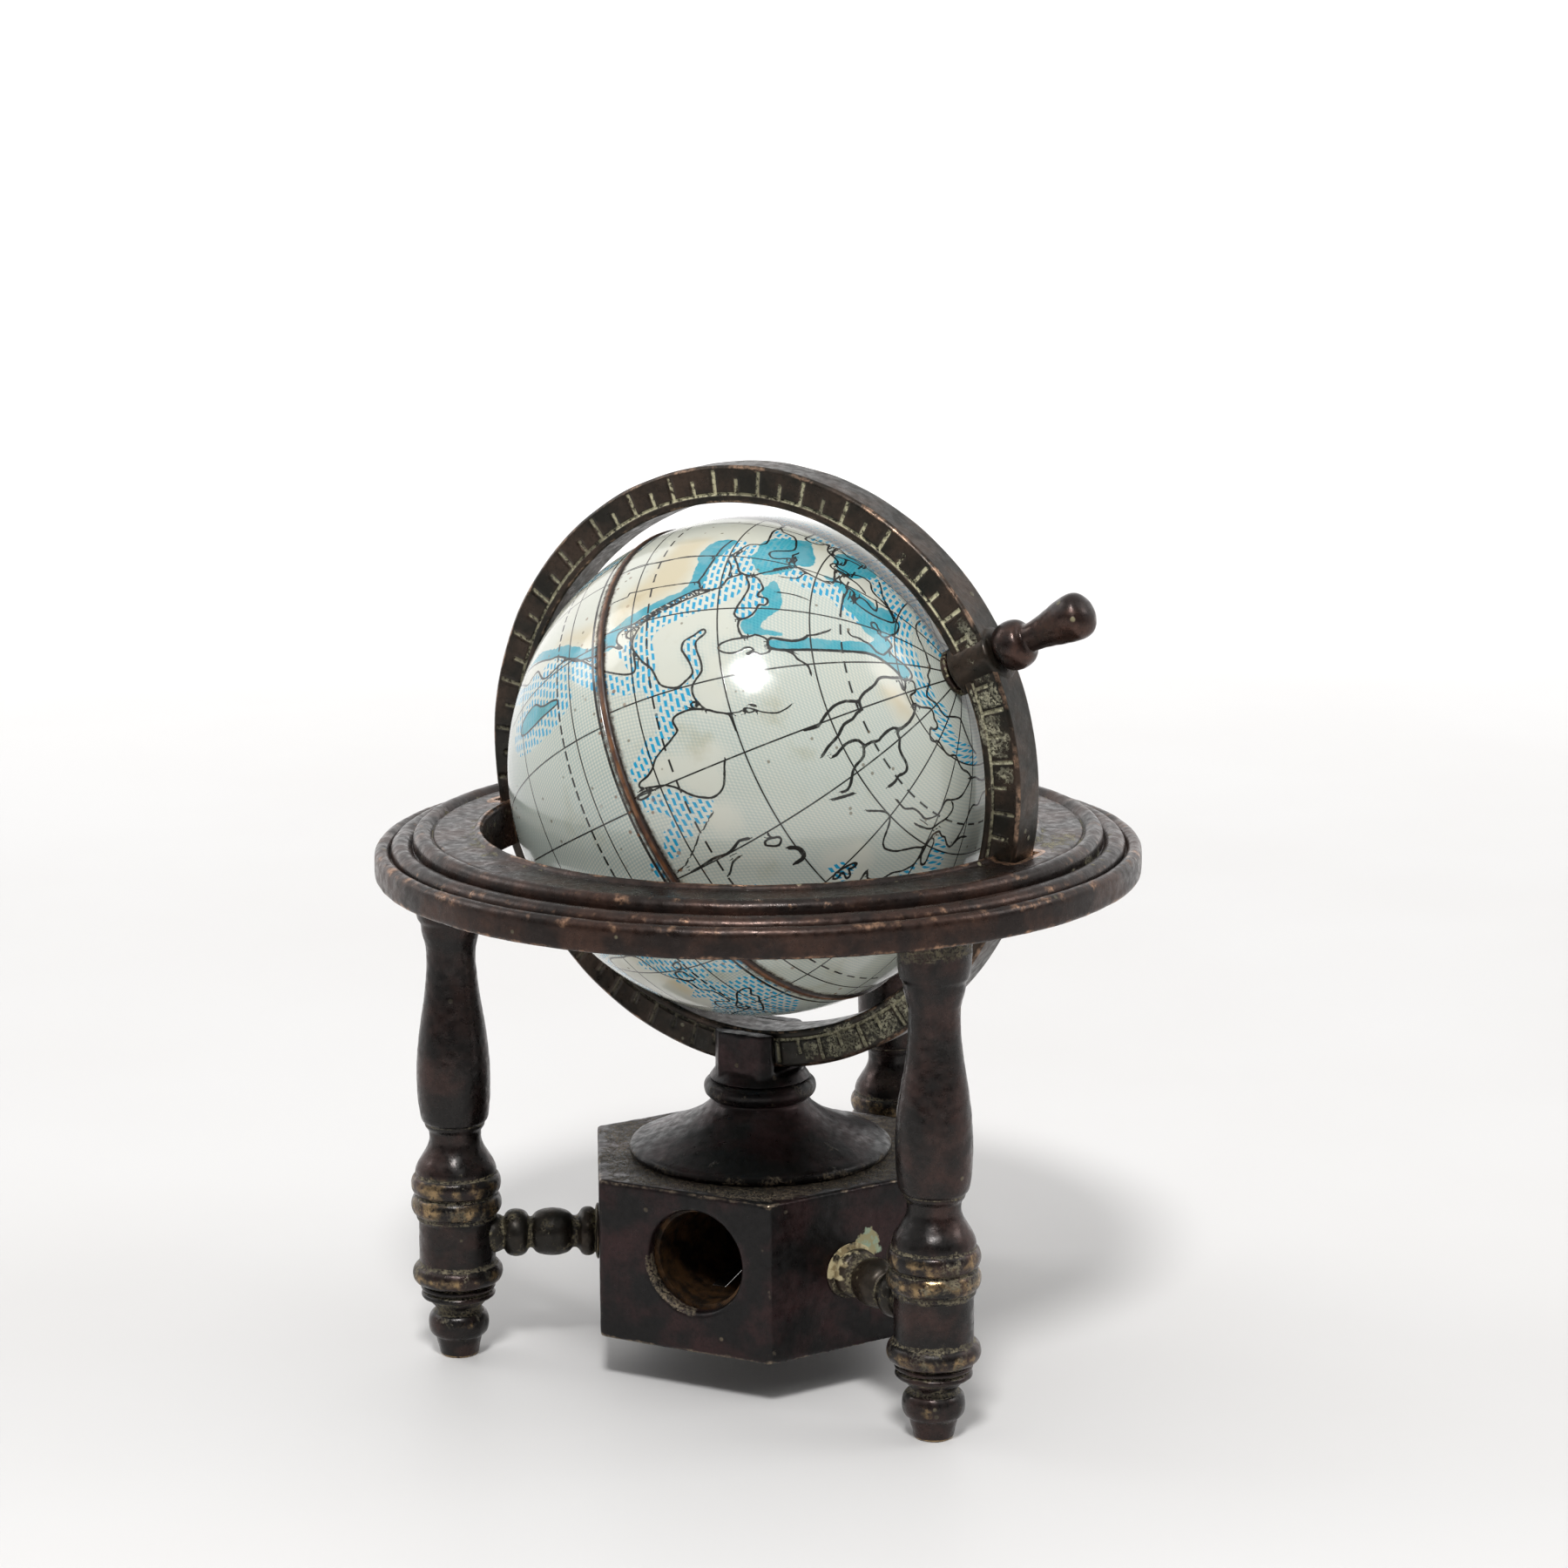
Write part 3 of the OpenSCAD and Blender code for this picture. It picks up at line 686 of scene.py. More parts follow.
def horizon_section(r, bottom):
    """The ring's mouldings, from its opening outward and back over its top."""
    bore = 23.7

    def bead(middle_r, middle_z, size_r, size_z, start, end):
        turn = np.radians(np.linspace(start, end, 15))
        return [(r - middle_r + size_r * math.cos(a), middle_z + size_z * math.sin(a)) for a in turn]

    line = [(bore, 0), (r - 0.4, 0), (r - 0.1, 0.1), (r, 0.35), (r, 1.85)]
    line += bead(0.68, 1.9, 0.68, 0.75, 0, 178)
    line += bead(2.35, 2.3, 0.97, 0.87, 20, 170)
    line += bead(4.15, 3.2, 0.85, 0.9, 20, 170)
    line += [(r - 5.1, 3.75), (bore + 0.75, 3.75)] + bead(r - bore - 0.36, 3.8, 0.36, 0.36, 0, 180)
    return np.array(line) + (0, bottom)


def make_horizon(material):
    """The moulded ring, with its two notches for the meridian ring."""
    low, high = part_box("horizon_ring")
    outer, bottom = high[1] / MM, low[2] / MM
    section = smoothed(horizon_section(outer, bottom), True, step=0.16)
    points, faces = turned(section, True, np.zeros(3), UP, 440, start=np.array([1.0, 0, 0]))
    points, _ = weathered(points, faces, 11, dent=0.025)
    top_below_centre = 4.8
    reach = math.sqrt(RING_OUT**2 - top_below_centre**2) + SLIDE_GAP
    half_width = RING_HALF + SLIDE_GAP
    along = unit(np.cross(PLANE, UP))
    level = UP * middle("horizon_ring")[2]
    tools = [block(side * along * reach / 2 + level, along, (reach / 2, half_width, 4)) for side in (-1, 1)]
    points, faces = cut_away(points, faces, tools)
    azimuth = np.degrees(np.arctan2(points[:, 1], points[:, 0])) % 360
    dust = np.interp(azimuth, RING_DUST_ANGLES, RING_DUST_SHARES) * (points[:, 2] > bottom + 2.6)
    make_piece("horizon_ring_cast", points, faces, "stand", material,
               ["horizon_ring"], values={"relief": relief(points, faces), "dust": dust})


def box_marks(points):
    """Dust round the disc, on an edge, at a corner and under the hole, and a green crust by a stretcher."""
    low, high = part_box("base_box")
    top, bottom, flat = high[2] / MM, low[2] / MM, -low[1] / MM
    radius = np.linalg.norm(points[:, :2], axis=1)
    roof_dust = np.interp(radius, (11, 11.6, 13, 16), (1.3, 1.15, 0.95, 0.8))
    dust = np.where(points[:, 2] > top - 0.3, roof_dust, -0.1)
    left_edge = (np.abs(points @ heading(210) - flat) < 0.35) & (points[:, 2] > top - 0.5)
    dust = dust + 0.45 * left_edge
    corner = flat / math.cos(math.pi / 6) * heading(-60) + UP * (bottom + 0.9)
    dust = dust + 1.1 * np.exp(-(np.linalg.norm(points - corner, axis=1) / 1.1) ** 2)
    across, above = points[:, 0] - middle("base_box")[0] - HOLE_X, points[:, 2] - HOLE_Z
    rim_r, rim_width = 4.55, 0.35
    rim = np.exp(-((np.hypot(across, above) - rim_r) / rim_width) ** 2) * (points[:, 1] < -flat + 1.0)
    dust = dust + 2.2 * rim * np.clip(-0.7 * across - 0.7 * above - 2.6, 0, 1)
    crust = points - (flat * heading(-30) + 1.7 * heading(60) + UP * 12.9)
    verdigris = 1.0 * np.exp(-(np.linalg.norm(crust, axis=1) / 1.5) ** 2)
    return {"dust": dust, "verdigris": verdigris}


def make_remeshed(node_name, body, material, voxel, passes, seed, dent=0.02, marks=None):
    """A casting that isn't turned: its CAD node, remeshed and weathered."""
    points, faces = remeshed(node_name, voxel, passes)
    points, height = weathered(points, faces, seed, dent=dent)
    make_piece(node_name + "_cast", points, faces, body, material, [node_name],
               values={"relief": height, **(marks(points) if marks else {})})


def make_pedestal(material):
    section, closed = section_of("pedestal_disc", np.zeros(3), UP)
    points, faces = turned(smoothed(section, closed), closed, np.zeros(3), UP, 160)
    points, height = weathered(points, faces, 31)
    make_piece("pedestal_disc_cast", points, faces, "stand", material,
               ["pedestal_disc"], values={"relief": height, "dust": np.full(len(points), 0.25)})


# ---- Meridian ring ----

TICK_STEP = 5.0
TICK_LONG, TICK_SHORT = 25.75, 24.95
BASE_LINE = (23.6, 23.9)
SCALE_DEPTH = 0.12
# How full of old cream paint the engraving is, and how dusty the face, round the ring from its right side
FILL_ANGLES = (0, 30, 38, 50, 66, 72, 78, 84, 92, 100, 120, 130, 150, 175, 225, 262, 280, 310, 340, 360)
FILL_SHARES = (0.3, 0.5, 1.0, 1.0, 0.9, 0.35, 0.8, 0.4, 0.6, 0.9, 0.8, 0.3, 0.5, 0.2, 0.1, 0.1, 0.35, 0.4,
               0.3, 0.3)
CRUMB_ANGLES = (0, 8, 14, 34, 40, 92, 100, 120, 130, 138, 152, 160, 262, 280, 290, 310, 320, 360)
CRUMB_SHARES = (0.5, 0.7, 0.8, 0.8, 0.15, 0.1, 0.35, 0.35, 0.15, 0.4, 0.4, 0.05, -0.1, 0.4, 1.0, 1.0, 0.4,
                0.2)


def ring_section():
    """Half the ring's section, from the inner edge over one face to the outer edge."""
    inner, outer = BASE_LINE
    edge = 0.25
    half = RING_HALF
    line = [(RING_IN, w) for w in np.arange(0.0, half - 0.14, 0.15)] + [(RING_IN + 0.12, half)]
    line += [(r, half) for r in np.arange(RING_IN + 0.3, inner - 0.05, 0.15)]
    floor, slant = half - SCALE_DEPTH, 0.04
    line += [(inner, half), (inner + slant, floor), (outer - slant, floor), (outer, half)]
    line += [(r, half) for r in np.arange(outer + 0.15, RING_OUT - edge - 0.1, 0.15)]
    line += [(RING_OUT - edge, half), (RING_OUT, half - edge)]
    line += [(RING_OUT, w) for w in np.arange(half - edge - 0.15, 0.05, -0.15)] + [(RING_OUT, 0.0)]
    return line


def make_meridian(material):
    """The graduated ring in two arcs between the bosses, and the two bosses."""
    half = ring_section()
    section = np.array(half + [(r, -w) for r, w in reversed(half[1:-1])])
    top, _ = basis(PLANE)
    side = np.cross(PLANE, top)
    pole_angle = math.degrees(math.atan2(POLE @ side, POLE @ top))
    # Angles of the mesh's rows after each division mark, in degrees
    offsets = (0.0, 0.3, 0.45, 1.1, 1.8, 2.5, 3.2, 3.9, 4.55, 4.7)
    boss_half, half_mark, back_fill = 2.95, 0.35, 0.5
    steps = [k * TICK_STEP + o for k in range(36) for o in offsets]
    between = [a for a in steps if boss_half + 0.1 < a < 180 - boss_half - 0.1]
    angles = np.array([boss_half, *between, 180 - boss_half])
    for arc, start in (("a", pole_angle), ("b", pole_angle + 180)):
        turn = np.radians(angles + start)
        out = np.cos(turn)[:, None] * top + np.sin(turn)[:, None] * side
        radius, width = section[:, 0], section[:, 1].copy()
        from_tick = np.abs((angles + TICK_STEP / 2) % TICK_STEP - TICK_STEP / 2)
        long_tick = np.abs((angles + TICK_STEP) % (2 * TICK_STEP) - TICK_STEP) < 1
        reach = np.where(long_tick, TICK_LONG, TICK_SHORT)
        on_face = np.abs(np.abs(width) - RING_HALF) < 1e-6
        cut = (from_tick[:, None] < half_mark) & on_face[None] & (radius[None] > BASE_LINE[1] - 0.01)
        cut &= radius[None] < reach[:, None]
        widths = np.where(cut, np.sign(width) * (RING_HALF - SCALE_DEPTH), width[None])
        groove = np.abs(np.abs(width) - (RING_HALF - SCALE_DEPTH)) < 1e-6
        groove &= (radius > BASE_LINE[0]) & (radius < BASE_LINE[1])
        round_angle = np.degrees(np.arctan2(out @ UP, out @ unit(np.cross(PLANE, UP)))) % 360
        front = (width < 0)[None] | np.zeros_like(cut)
        fill = np.interp(round_angle, FILL_ANGLES, FILL_SHARES)[:, None]
        crumbs = np.interp(round_angle, CRUMB_ANGLES, CRUMB_SHARES)[:, None]
        paint = np.maximum(cut, groove[None]) * np.where(front, fill, back_fill)
        dust = np.where(on_face[None] | groove[None], crumbs, -0.5) * np.ones_like(widths)
        points = radius[None, :, None] * out[:, None] + widths[..., None] * PLANE + CENTRE
        points = points.reshape(-1, 3)
        rows, columns = len(angles), len(section)
        faces = grid_faces(rows, columns)
        faces.append(list(range(columns)))
        faces.append(list(range((rows - 1) * columns, rows * columns))[::-1])
        normals = point_normals(points, faces)
        if (normals[0] @ (points[0] - CENTRE)) > 0:
            faces = [f[::-1] for f in faces]
        shift = 0.02 * waves(points, 5.0, 41)
        points = points + point_normals(points, faces) * shift[:, None]
        make_piece("meridian_ring_" + arc, points, faces, "meridian", material,
                   ["meridian_ring"],
                   values={"relief": relief(points, faces), "paint": paint.ravel(), "dust": dust.ravel()})
    # Radius about the pole axis and distance from the globe's centre
    boss = [(0.95, 22.25), (2.15, 22.25), (2.35, 22.45), (2.35, 26.1), (2.15, 26.3), (0.95, 26.3)]
    section = smoothed(boss, True, step=0.12)
    for name, axis in (("north", POLE), ("south", -POLE)):
        points, faces = turned(section, True, CENTRE, axis, 90)
        points, height = weathered(points, faces, 47, dent=0.02)
        make_piece("meridian_boss_" + name, points, faces, "meridian", material,
                   values={"relief": height, "dust": np.full(len(points), 0.3)})


def make_turned(node_name, body, material, axis, origin, columns, seed):
    """One of the small turned pieces on the polar axis."""
    section, closed = section_of(node_name, origin, axis)
    points, faces = turned(smoothed(section, closed, step=0.1), closed, origin, axis, columns)
    points, height = weathered(points, faces, seed, dent=0.015, grain=0.008)
    reach = np.abs((points - origin) @ axis)
    dust = np.interp(reach, (22, 26.4, 26.9, 28, 30.2, 31, 36), (0.5, 0.6, 0.4, -0.1, 0.3, -0.1, -0.3))
    make_piece(node_name + "_cast", points, faces, body, material, [node_name],
               values={"relief": height, "dust": dust})


def make_slot_shade_sheet(material):
    """A thin dark sheet of the insert's metal across the slot's mouth, close beside the blade's edge: painted
    shade, hiding the lit floor that would show through the slot.
    """
    low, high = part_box("sharpener_blade")
    mouth, edge = low[1] / MM - 0.1, high[0] / MM + 0.01
    bore_r, lead_in, wall_in = 4.1, 4.0, 12.85
    cone_rise, cone_length = 3.5, 17.9
    front, back, half_thickness, squareness = -11.0, 8.0, 0.15, 0.1
    along = np.sort(np.append(np.linspace(front, back, 120), (mouth - 0.1, mouth)))
    turn = np.linspace(0, 2 * math.pi, 40, endpoint=False)
    share = 0.5 + 0.5 * np.sign(np.cos(turn)) * np.abs(np.cos(turn)) ** squareness
    near = np.interp(along, (mouth - 0.1, mouth), (HOLE_X - 1.5, edge))[:, None]
    thick = -0.16 + half_thickness * np.sign(np.sin(turn)) * np.abs(np.sin(turn)) ** squareness
    level = HOLE_Z - bore_r + 0.2 + (along + wall_in - lead_in) * (cone_rise / cone_length)
    points = np.empty((len(along), len(turn), 3))
    points[..., 0] = near + (HOLE_X + 1.62 - near) * share
    points[..., 1] = along[:, None]
    points[..., 2] = level[:, None] + thick
    rows, columns = points.shape[:2]
    faces = grid_faces(rows, columns)
    faces += [list(range(columns))[::-1], list(range((rows - 1) * columns, rows * columns))]
    points = points.reshape(-1, 3)
    if (point_normals(points, faces)[0] @ (points[0] - points[:columns].mean(0))) < 0:
        faces = [f[::-1] for f in faces]
    # A dark sheet that stands for the shade inside the slot.
    make_piece("sharpener_slot_shade_sheet", points, faces, "stand", material)


# ---- Printed map: places in degrees on the globe, longitude from its uppermost meridian at rest ----

# Widths of drawn lines, in millimetres
COAST, RIVER, BORDER = 0.19, 0.26, 0.14

# Outlines used both as drawn coasts and as filled areas
BLACK_SEA = ("35.2,37.5 36.5,39.3 38.5,40.2 40.5,40.8 42,40 43.6,39.9 44,41.8 45.5,42.2 46.8,41.5 46.6,40.3 "
             "48.5,39.8 50.5,38.8 51.8,37 51.2,35.6 49.8,35 47.5,35.6 44,36.8 40.5,37.6 38,37.2 36.2,36.5")
MADAGASCAR = ("58.5,-11 57.8,-13 57.5,-16 56.5,-18 55,-19.7 54.8,-23 55.3,-26 56.5,-27.8 58.5,-28.3 59.8,-26 "
              "60.2,-22 60,-18 59.8,-14 59.5,-11")

LINES = [
    # Black Sea, Azov, Caspian
    (COAST, BLACK_SEA + " 35.2,37.5"),
    (COAST, "51.8,36.2 54,35.8 57,36.4 58,37.6"),
    (COAST, "57.2,39.5 57.9,37.6 58.1,34.5 58.9,32 60.1,31.2 61.3,31.8 62.2,33.8 61.9,35.8 61.1,37 "
            "61.3,38.4 62.3,38.7 62.9,37.2 63.4,37.6 62.6,39 63.7,40 63.4,41.6 62.6,42.4 61,41.9 59.2,42.1 "
            "58,41 57.2,39.5"),
    # Mediterranean and the Nile
    (COAST, "28,46 31,43 34,39.5 35.5,37.5 35,35.5 34,34.5 31,33.6 28,32.3 25,33.4"),
    (COAST, "20,45 22,44.3 24,45 26.4,44.4 28,45 31,42"),
    (COAST, "35.5,35 36.5,33.5 38,32.2 40.5,31.8 41,30.5 41.3,28.6 41,26.8"),
    (COAST, "20,29.4 24,28.4 28,28 30,27.8 33,27.3 36,26.7 38,26 39,26.4 41,26.6 42,25.4 43.5,25.2 "
            "43.8,24.4"),
    (BORDER, "38.3,26 38.4,20 38.2,15 38,11 37.7,9 38.8,8.8 39,5"),
    (BORDER, "28,27.6 27.6,21 28.4,15 27.5,9 28.5,4"),
    # Red Sea, Arabia, the Gulf and the Makran coast
    (COAST, "41,26 42.5,23.5 44.5,19.5 46.2,16 48,12 49,8.6 50,7.6 51.5,7.4 52.7,8 53.8,9 53.7,8 52.6,6.6 "
            "52,5 52.6,3.4 53,1.6 52.5,-1 51.8,-4 50,-6.5 48,-9 46.3,-11.5 45.5,-14 43.2,-18 40.6,-23 "
            "38.4,-28"),
    (COAST, "43.9,24 45.2,21.5 46.5,18.5 48,15.2 49.3,12 50,10.2 51.3,9.9 52,11 53.2,11.4 54.5,11.3 "
            "57,12.6 59.5,14 61,15.4 63,16.3 66,17.2 67.3,18.8 68,20.5 67.9,21.8 67,23.2 66,24.6 64.6,25 "
            "62,24.4 60,23.6 58.6,23.1 57.2,23.4 56.3,24 55.4,26 54.2,27.6 54,28.4 55,28.7 56,27.8 57,26.6 "
            "58.5,26.3 60.5,26.6 63,27.1 65.5,27 67,25.8 68.5,24.5 70,24.1 72,24.3 74,25.2 75.4,26 76,27 "
            "77,28.3 78,30.2 79,30.8 83,31"),
    (BORDER, "73.4,24.7 74.2,23.8 73.4,23 72.7,23.8 73.4,24.7"),
    (BORDER, "77.4,35.5 78.2,36.8 79.6,36 79.3,34.4 78,34.2 77.4,35.5"),
    (BORDER, "78,30.3 78.6,33 78.2,35 80.4,37.6 82,41 81,44"),
    # India and Ceylon
    (COAST, "75.4,26 74.3,23.2 74.3,21 74.4,19.8 75,18.6 76,18.3 78,18.8 79,17.5 80,16 81,14 82.2,12 "
            "83.5,11 84,10.5 85,9 85.5,7 86,6.2 87,6.3 87.4,8 88,10 88.5,12 89.5,13.5 91,15 93,16.6 "
            "94.5,18.6 95.5,20.5 95.2,22.5 94,24 92,25 90,25.8 88.8,26.3"),
    (COAST, "88.4,8.4 89.2,7 89.2,5.2 88.5,4.4 88,5.6 87.9,7.2 88.4,8.4"),
    # Burma and the ranges beyond it
    (BORDER, "98.8,18.8 99.4,17.8"), (BORDER, "100.2,16.6 101,15.5"), (BORDER, "102,13.6 103.5,12"),
    (BORDER, "104.2,11 105,9.8"), (BORDER, "105.7,8.6 106.3,7.5"), (BORDER, "106.6,6.6 106.8,5.2"),
    (RIVER, "108,23 107.3,21 108,19.5 108.6,17 108,14 108.3,11 108.4,8"),
    (COAST, "110.6,19 111,17 112.5,15.5 113,14.8"),
    (COAST, "109.5,27 111,27.3 111.5,28.5 112.5,28.8 113.5,27.5 112.4,26 111.5,25.2 110.6,25.8 110.9,26.8"),
    (0.36, "115.5,29 117,30.5 119,30.8 120,29.8 119.8,28"),
    (RIVER, "112,42.8 113.4,45 114.8,47.3"),
    # Japan
    (COAST, "129.3,33 130,35 131,37 132,37.6 132.3,36.5 131.2,35.5 133,34.8 133,33.5 131.5,34 130.3,33.8 "
            "131,32.5 130,31.5 129.3,33"),
    # The Urals and the Volga
    (RIVER, "57.5,51 59,50 59.8,47.5 59,44.5 58.5,43 59.5,42.2 61.5,42.1 62.5,43.5 63,46 63.2,50 63.7,58 "
            "64,64.5 66,67 69,68.7 72,70 76,71.2 80,71.8"),
    (COAST, "63,45.5 64.5,47.3 66.5,48 69,50 72,50.3"),
    (COAST, "54.5,56 57,53 57.5,51"),
    (BORDER, "42,51 41,48 41,44"),
    # Arctic coast of Siberia, with its islands
    (COAST, "60.5,70.3 63,70.8 67,72.5 70,73.7 74,74.6 78,75 81,74.8 82.5,74 82.5,73 81.5,72"),
    (COAST, "82.8,74 85,74.8 88,74.8 91.5,74.5 93.5,74 94,72.5 95,72.2 100,72 101,71.5"),
    (COAST, "79.5,71 81.5,70.8 84,71 88,71 89,71.5 86,72.2 83,72.5 82,73"),
    (COAST, "101,72.5 104,73 107,73.8 110,75 114,75.7 118,75.4 121,74.7 126,74.3 128,73.5 126,72.6 "
            "123,72.4 122.5,72 124.5,71 127,70.1 130,70.2 132,70.9 135,71 140,70.4 146,69.8 153,70.5 "
            "158,69 162,68 167,67.6 170,66.8 172,66.3 176,66.3 180,65.5 186,65 190,66 192,64.6 188,62.4 "
            "183,62 179,60 174,60 171,57.6 167,53 165,51.4"),
    (COAST, "10,76 20,76.2 30,77.5 40,79.3 50,80.6 60,81 68,81.4 75,80.8 82,79.8 90,79.6 100,77 105,77 "
            "115,78 130,77.5 140,78.5 150,79.2 158,79 165,76.5 172,73.5 178,71.5"),
    # Ob, Yenisei and Lena
    (RIVER, "80,71.5 79,69 78,67.5 78.5,65.8 81,64.5 82.5,63 84,61 86,59.5 88,59 90.5,59"),
    (RIVER, "86.5,58.5 85,56 85.5,53 88,50 90,48 89.5,45"),
    (RIVER, "90.5,59 91,57.5 92.5,56 93,53.5 95.5,51.5 97.5,48 99,46"),
    (RIVER, "101.5,72.4 104,71.8 106.5,70.5 108,68.5 108,66 107,65 105,64 104.5,62 105,60 105.5,59 "
            "104.2,57.5 104,55.6"),
    (RIVER, "104,55.4 101,55 99.7,53.5 99.6,51.5 101,49 101,48"),
    (RIVER, "104,55.2 107,54 107.8,51.5 109,50 110.5,49 112,47.8 112.6,46.5 112,45.5"),
    (RIVER, "107,64.8 109,64 111.5,63.8 114,62.5 118,61.8 122,61.4 124.5,60.3 124,59 122.8,58 123.3,56.5 "
            "122.5,54.5"),
    # Amur, Manchuria, Okhotsk and Sakhalin
    (COAST, "129,53.8 134,53.6 137,54.8 141,54.9 145,54.5 149,55.8 151,57 152,59 153,60.3 158,61 163,62 "
            "167,64 171,66.2"),
    (COAST, "142,52.3 147,52.7 150,53.2 153,55 157,57 159,59 158,60"),
    (COAST, "122.5,47.3 124.5,48.5 127,49.8 129.5,50.2 131.5,49.3 133,47 134,45.2 136,44 140,44.8 143,46.2 "
            "147,48 150,48.7 151,50 152,52 153.5,53 155,53.3 157,52.5 159,52.5 161.5,51 164,50.6 166,51.8 "
            "169,53 172,53"),
    (COAST, "150,48.5 150.5,47 150,44.5 148.5,43.2 147,42 144,40.5 142,38 138,36.5 136,38 137,33 135.5,31"),
    (COAST, "151,47 151.3,50 152.3,51.5 154,50.8 154.2,48 154.5,45.5 152.6,45.2 151,47"),
    # Scandinavia, the White Sea and the Baltic
    (COAST, "10,63.5 14,65 18,66 22,67.5 26,69.5 30,71 34,72.3 39,72.5 44,72 47,71 50,70 51.5,69 50,68 "
            "48,68.3 46,67.5 43.5,67 43,66.3 44,65.8 46.5,66 48,67.5"),
    (COAST, "51.5,69.5 53,70.5 56,71 58.5,70.5 61,69.8 63,69 64,68.3 62.5,66.8 60,66 58,65 57.5,64 56,63 "
            "55.5,61 53.5,60.3"),
    (COAST, "26,65.5 28,66 31,66.4 34,66.3 33,65 31,63.8 30,62 33,61.3 35,61 33,60.4 31,60.6"),
    (COAST, "27,58 30,58.8 36,58.5 45,58.5"),
    (COAST, "10,54.5 15,55 17,53 20,53 21,56 22,60 25,62.5"),
    (BORDER, "26.5,57 30,53 29,49 33,47.5 34,44"),
    # Madagascar
    (COAST, MADAGASCAR + " 58.5,-11"),
    # New Guinea and the islands near it
    (COAST, "143,-5 143.5,-3.5 145,-4.5 146.5,-5.5 148,-4.8 150,-6.2 153,-7.8 155.5,-9.5 157,-11 155,-12 "
            "152,-13.5 150,-13 148,-11 145.5,-9 143.8,-7.5 143,-5"),
    (COAST, "131,-14 131.5,-12.8 133,-12.9 134.5,-12 135,-13.5 134.3,-15.5 132.5,-16 131,-15.2 131,-14"),
    (COAST, "127.5,-11.5 129.5,-12 130.2,-13.4 128.6,-14 127.5,-11.5"),
    (COAST, "119,10 121,12 122,16 120.6,18 119.4,14 119,10"), (COAST, "119.5,6 122,8 124,7 123,4.6 120,4.5 "
                                                                      "119.5,6"),
]

# Coasts of the side turned away at rest; each is a whole outline, with land inside.
LANDS = [
    "-7,15 -7,21 -3,28 4,35.8 10,36 19,37.2 21,34 25,32.5 29,31 33,32.6 40,31.4 44,24 47,16 52.6,11.6 "
    "61,11.6 58,4 52,-3 49.4,-8 50,-16 45,-20 45.4,-25 42,-29 37,-33.6 29,-34.6 27.6,-30 24.6,-22 21.6,-16 "
    "23.4,-9 21.6,-3 19,2 18.6,4.6 13,5.8 5,5 0,5 -3,7.8 -6.6,11",
    "1,37 1,43 9,43.6 9,47 5.4,48.4 11,50 14,53.4 18,54 18.4,57 20.6,57.6 20,54.4 30,54.8 27,46 23,45.6 "
    "26,41 23,39.4 19,43.6 14,43 10,41 9,38 5,36.2",
    "5,50.4 11.4,51.4 10,53.8 8,56.6 8,58.6 4,58 5.6,55.4 7,54 5.4,52",
    "16,59 22,56.4 26,56.6 29,60.4 34,60.4 38,66 35,71 25,68.4 21,64 15,62",
    "-14,64.6 -8,66.4 -4,65.6 -5,63.6 -10,63.4",
    "-63,78 -58,76 -45,72 -41,67 -37,60.6 -30,61.6 -24,66 -12,70.6 -9,76 -2,81.6 -25,83.4 -50,82",
    "-158,66 -156,70.6 -146,71 -130,69.6 -116,69 -104,68 -86,68.6 -72,69 -76,64 -84,61 -84,57 -72,55.4 "
    "-70,52 -68,56 -67,62 -60,62 -54,58.6 -46,53.4 -47,50 -56,50 -54,46.4 -51,46.6 -55,43.6 -60,42 "
    "-64,39.6 -66,35.4 -71,31.6 -70,26 -73,27 -75,30 -80,30.4 -87,29 -87,22 -84,18.6 -81,19 -78,21.4 "
    "-77,18 -78,15.8 -73,15.4 -73,10.6 -68,9.4 -69,7.4 -74,9.6 -78,13 -84,15.8 -94,19 -100,26 -103,31 "
    "-104,28 -99,23 -105,28 -110,34 -114,40 -114,47.4 -120,53 -126,58.6 -134,60.4 -142,59.6 -150,57 "
    "-156,59 -152,63",
    "-68,9 -62,12 -52,10.6 -47,6.6 -41,4.6 -38,0 -30,-3 -25,-7 -29,-14 -31,-22 -38,-24.6 -42,-30 -47,-34.8 "
    "-48,-38.6 -55,-41 -57,-47 -59,-52 -61,-55 -65,-50 -64,-42 -61.6,-30 -61,-18 -66,-14 -71,-5 -68,0 -67,5",
    "124,-22 131,-19.4 135,-15 139,-14.6 141,-12 147,-12.4 146,-16 151,-17.6 152.4,-11 156,-18 161,-24 "
    "163.4,-29 160,-37.6 153,-38.6 148,-35 145,-32.6 141,-31.6 134,-34 126,-34.6 124,-28",
    "154,-41 158,-41 157,-43.6 155,-43",
    "182,-34.6 186,-37.6 188,-38 185,-41.4 182,-44 176.6,-46 181,-41",
    "0,-70 30,-69 60,-67 90,-66 120,-66.4 150,-67 170,-71 178,-78 200,-77 230,-74 255,-73 285,-73 297,-65 "
    "305,-66 300,-74 320,-77 340,-72 360,-70 360,-89.9 0,-89.9",
]

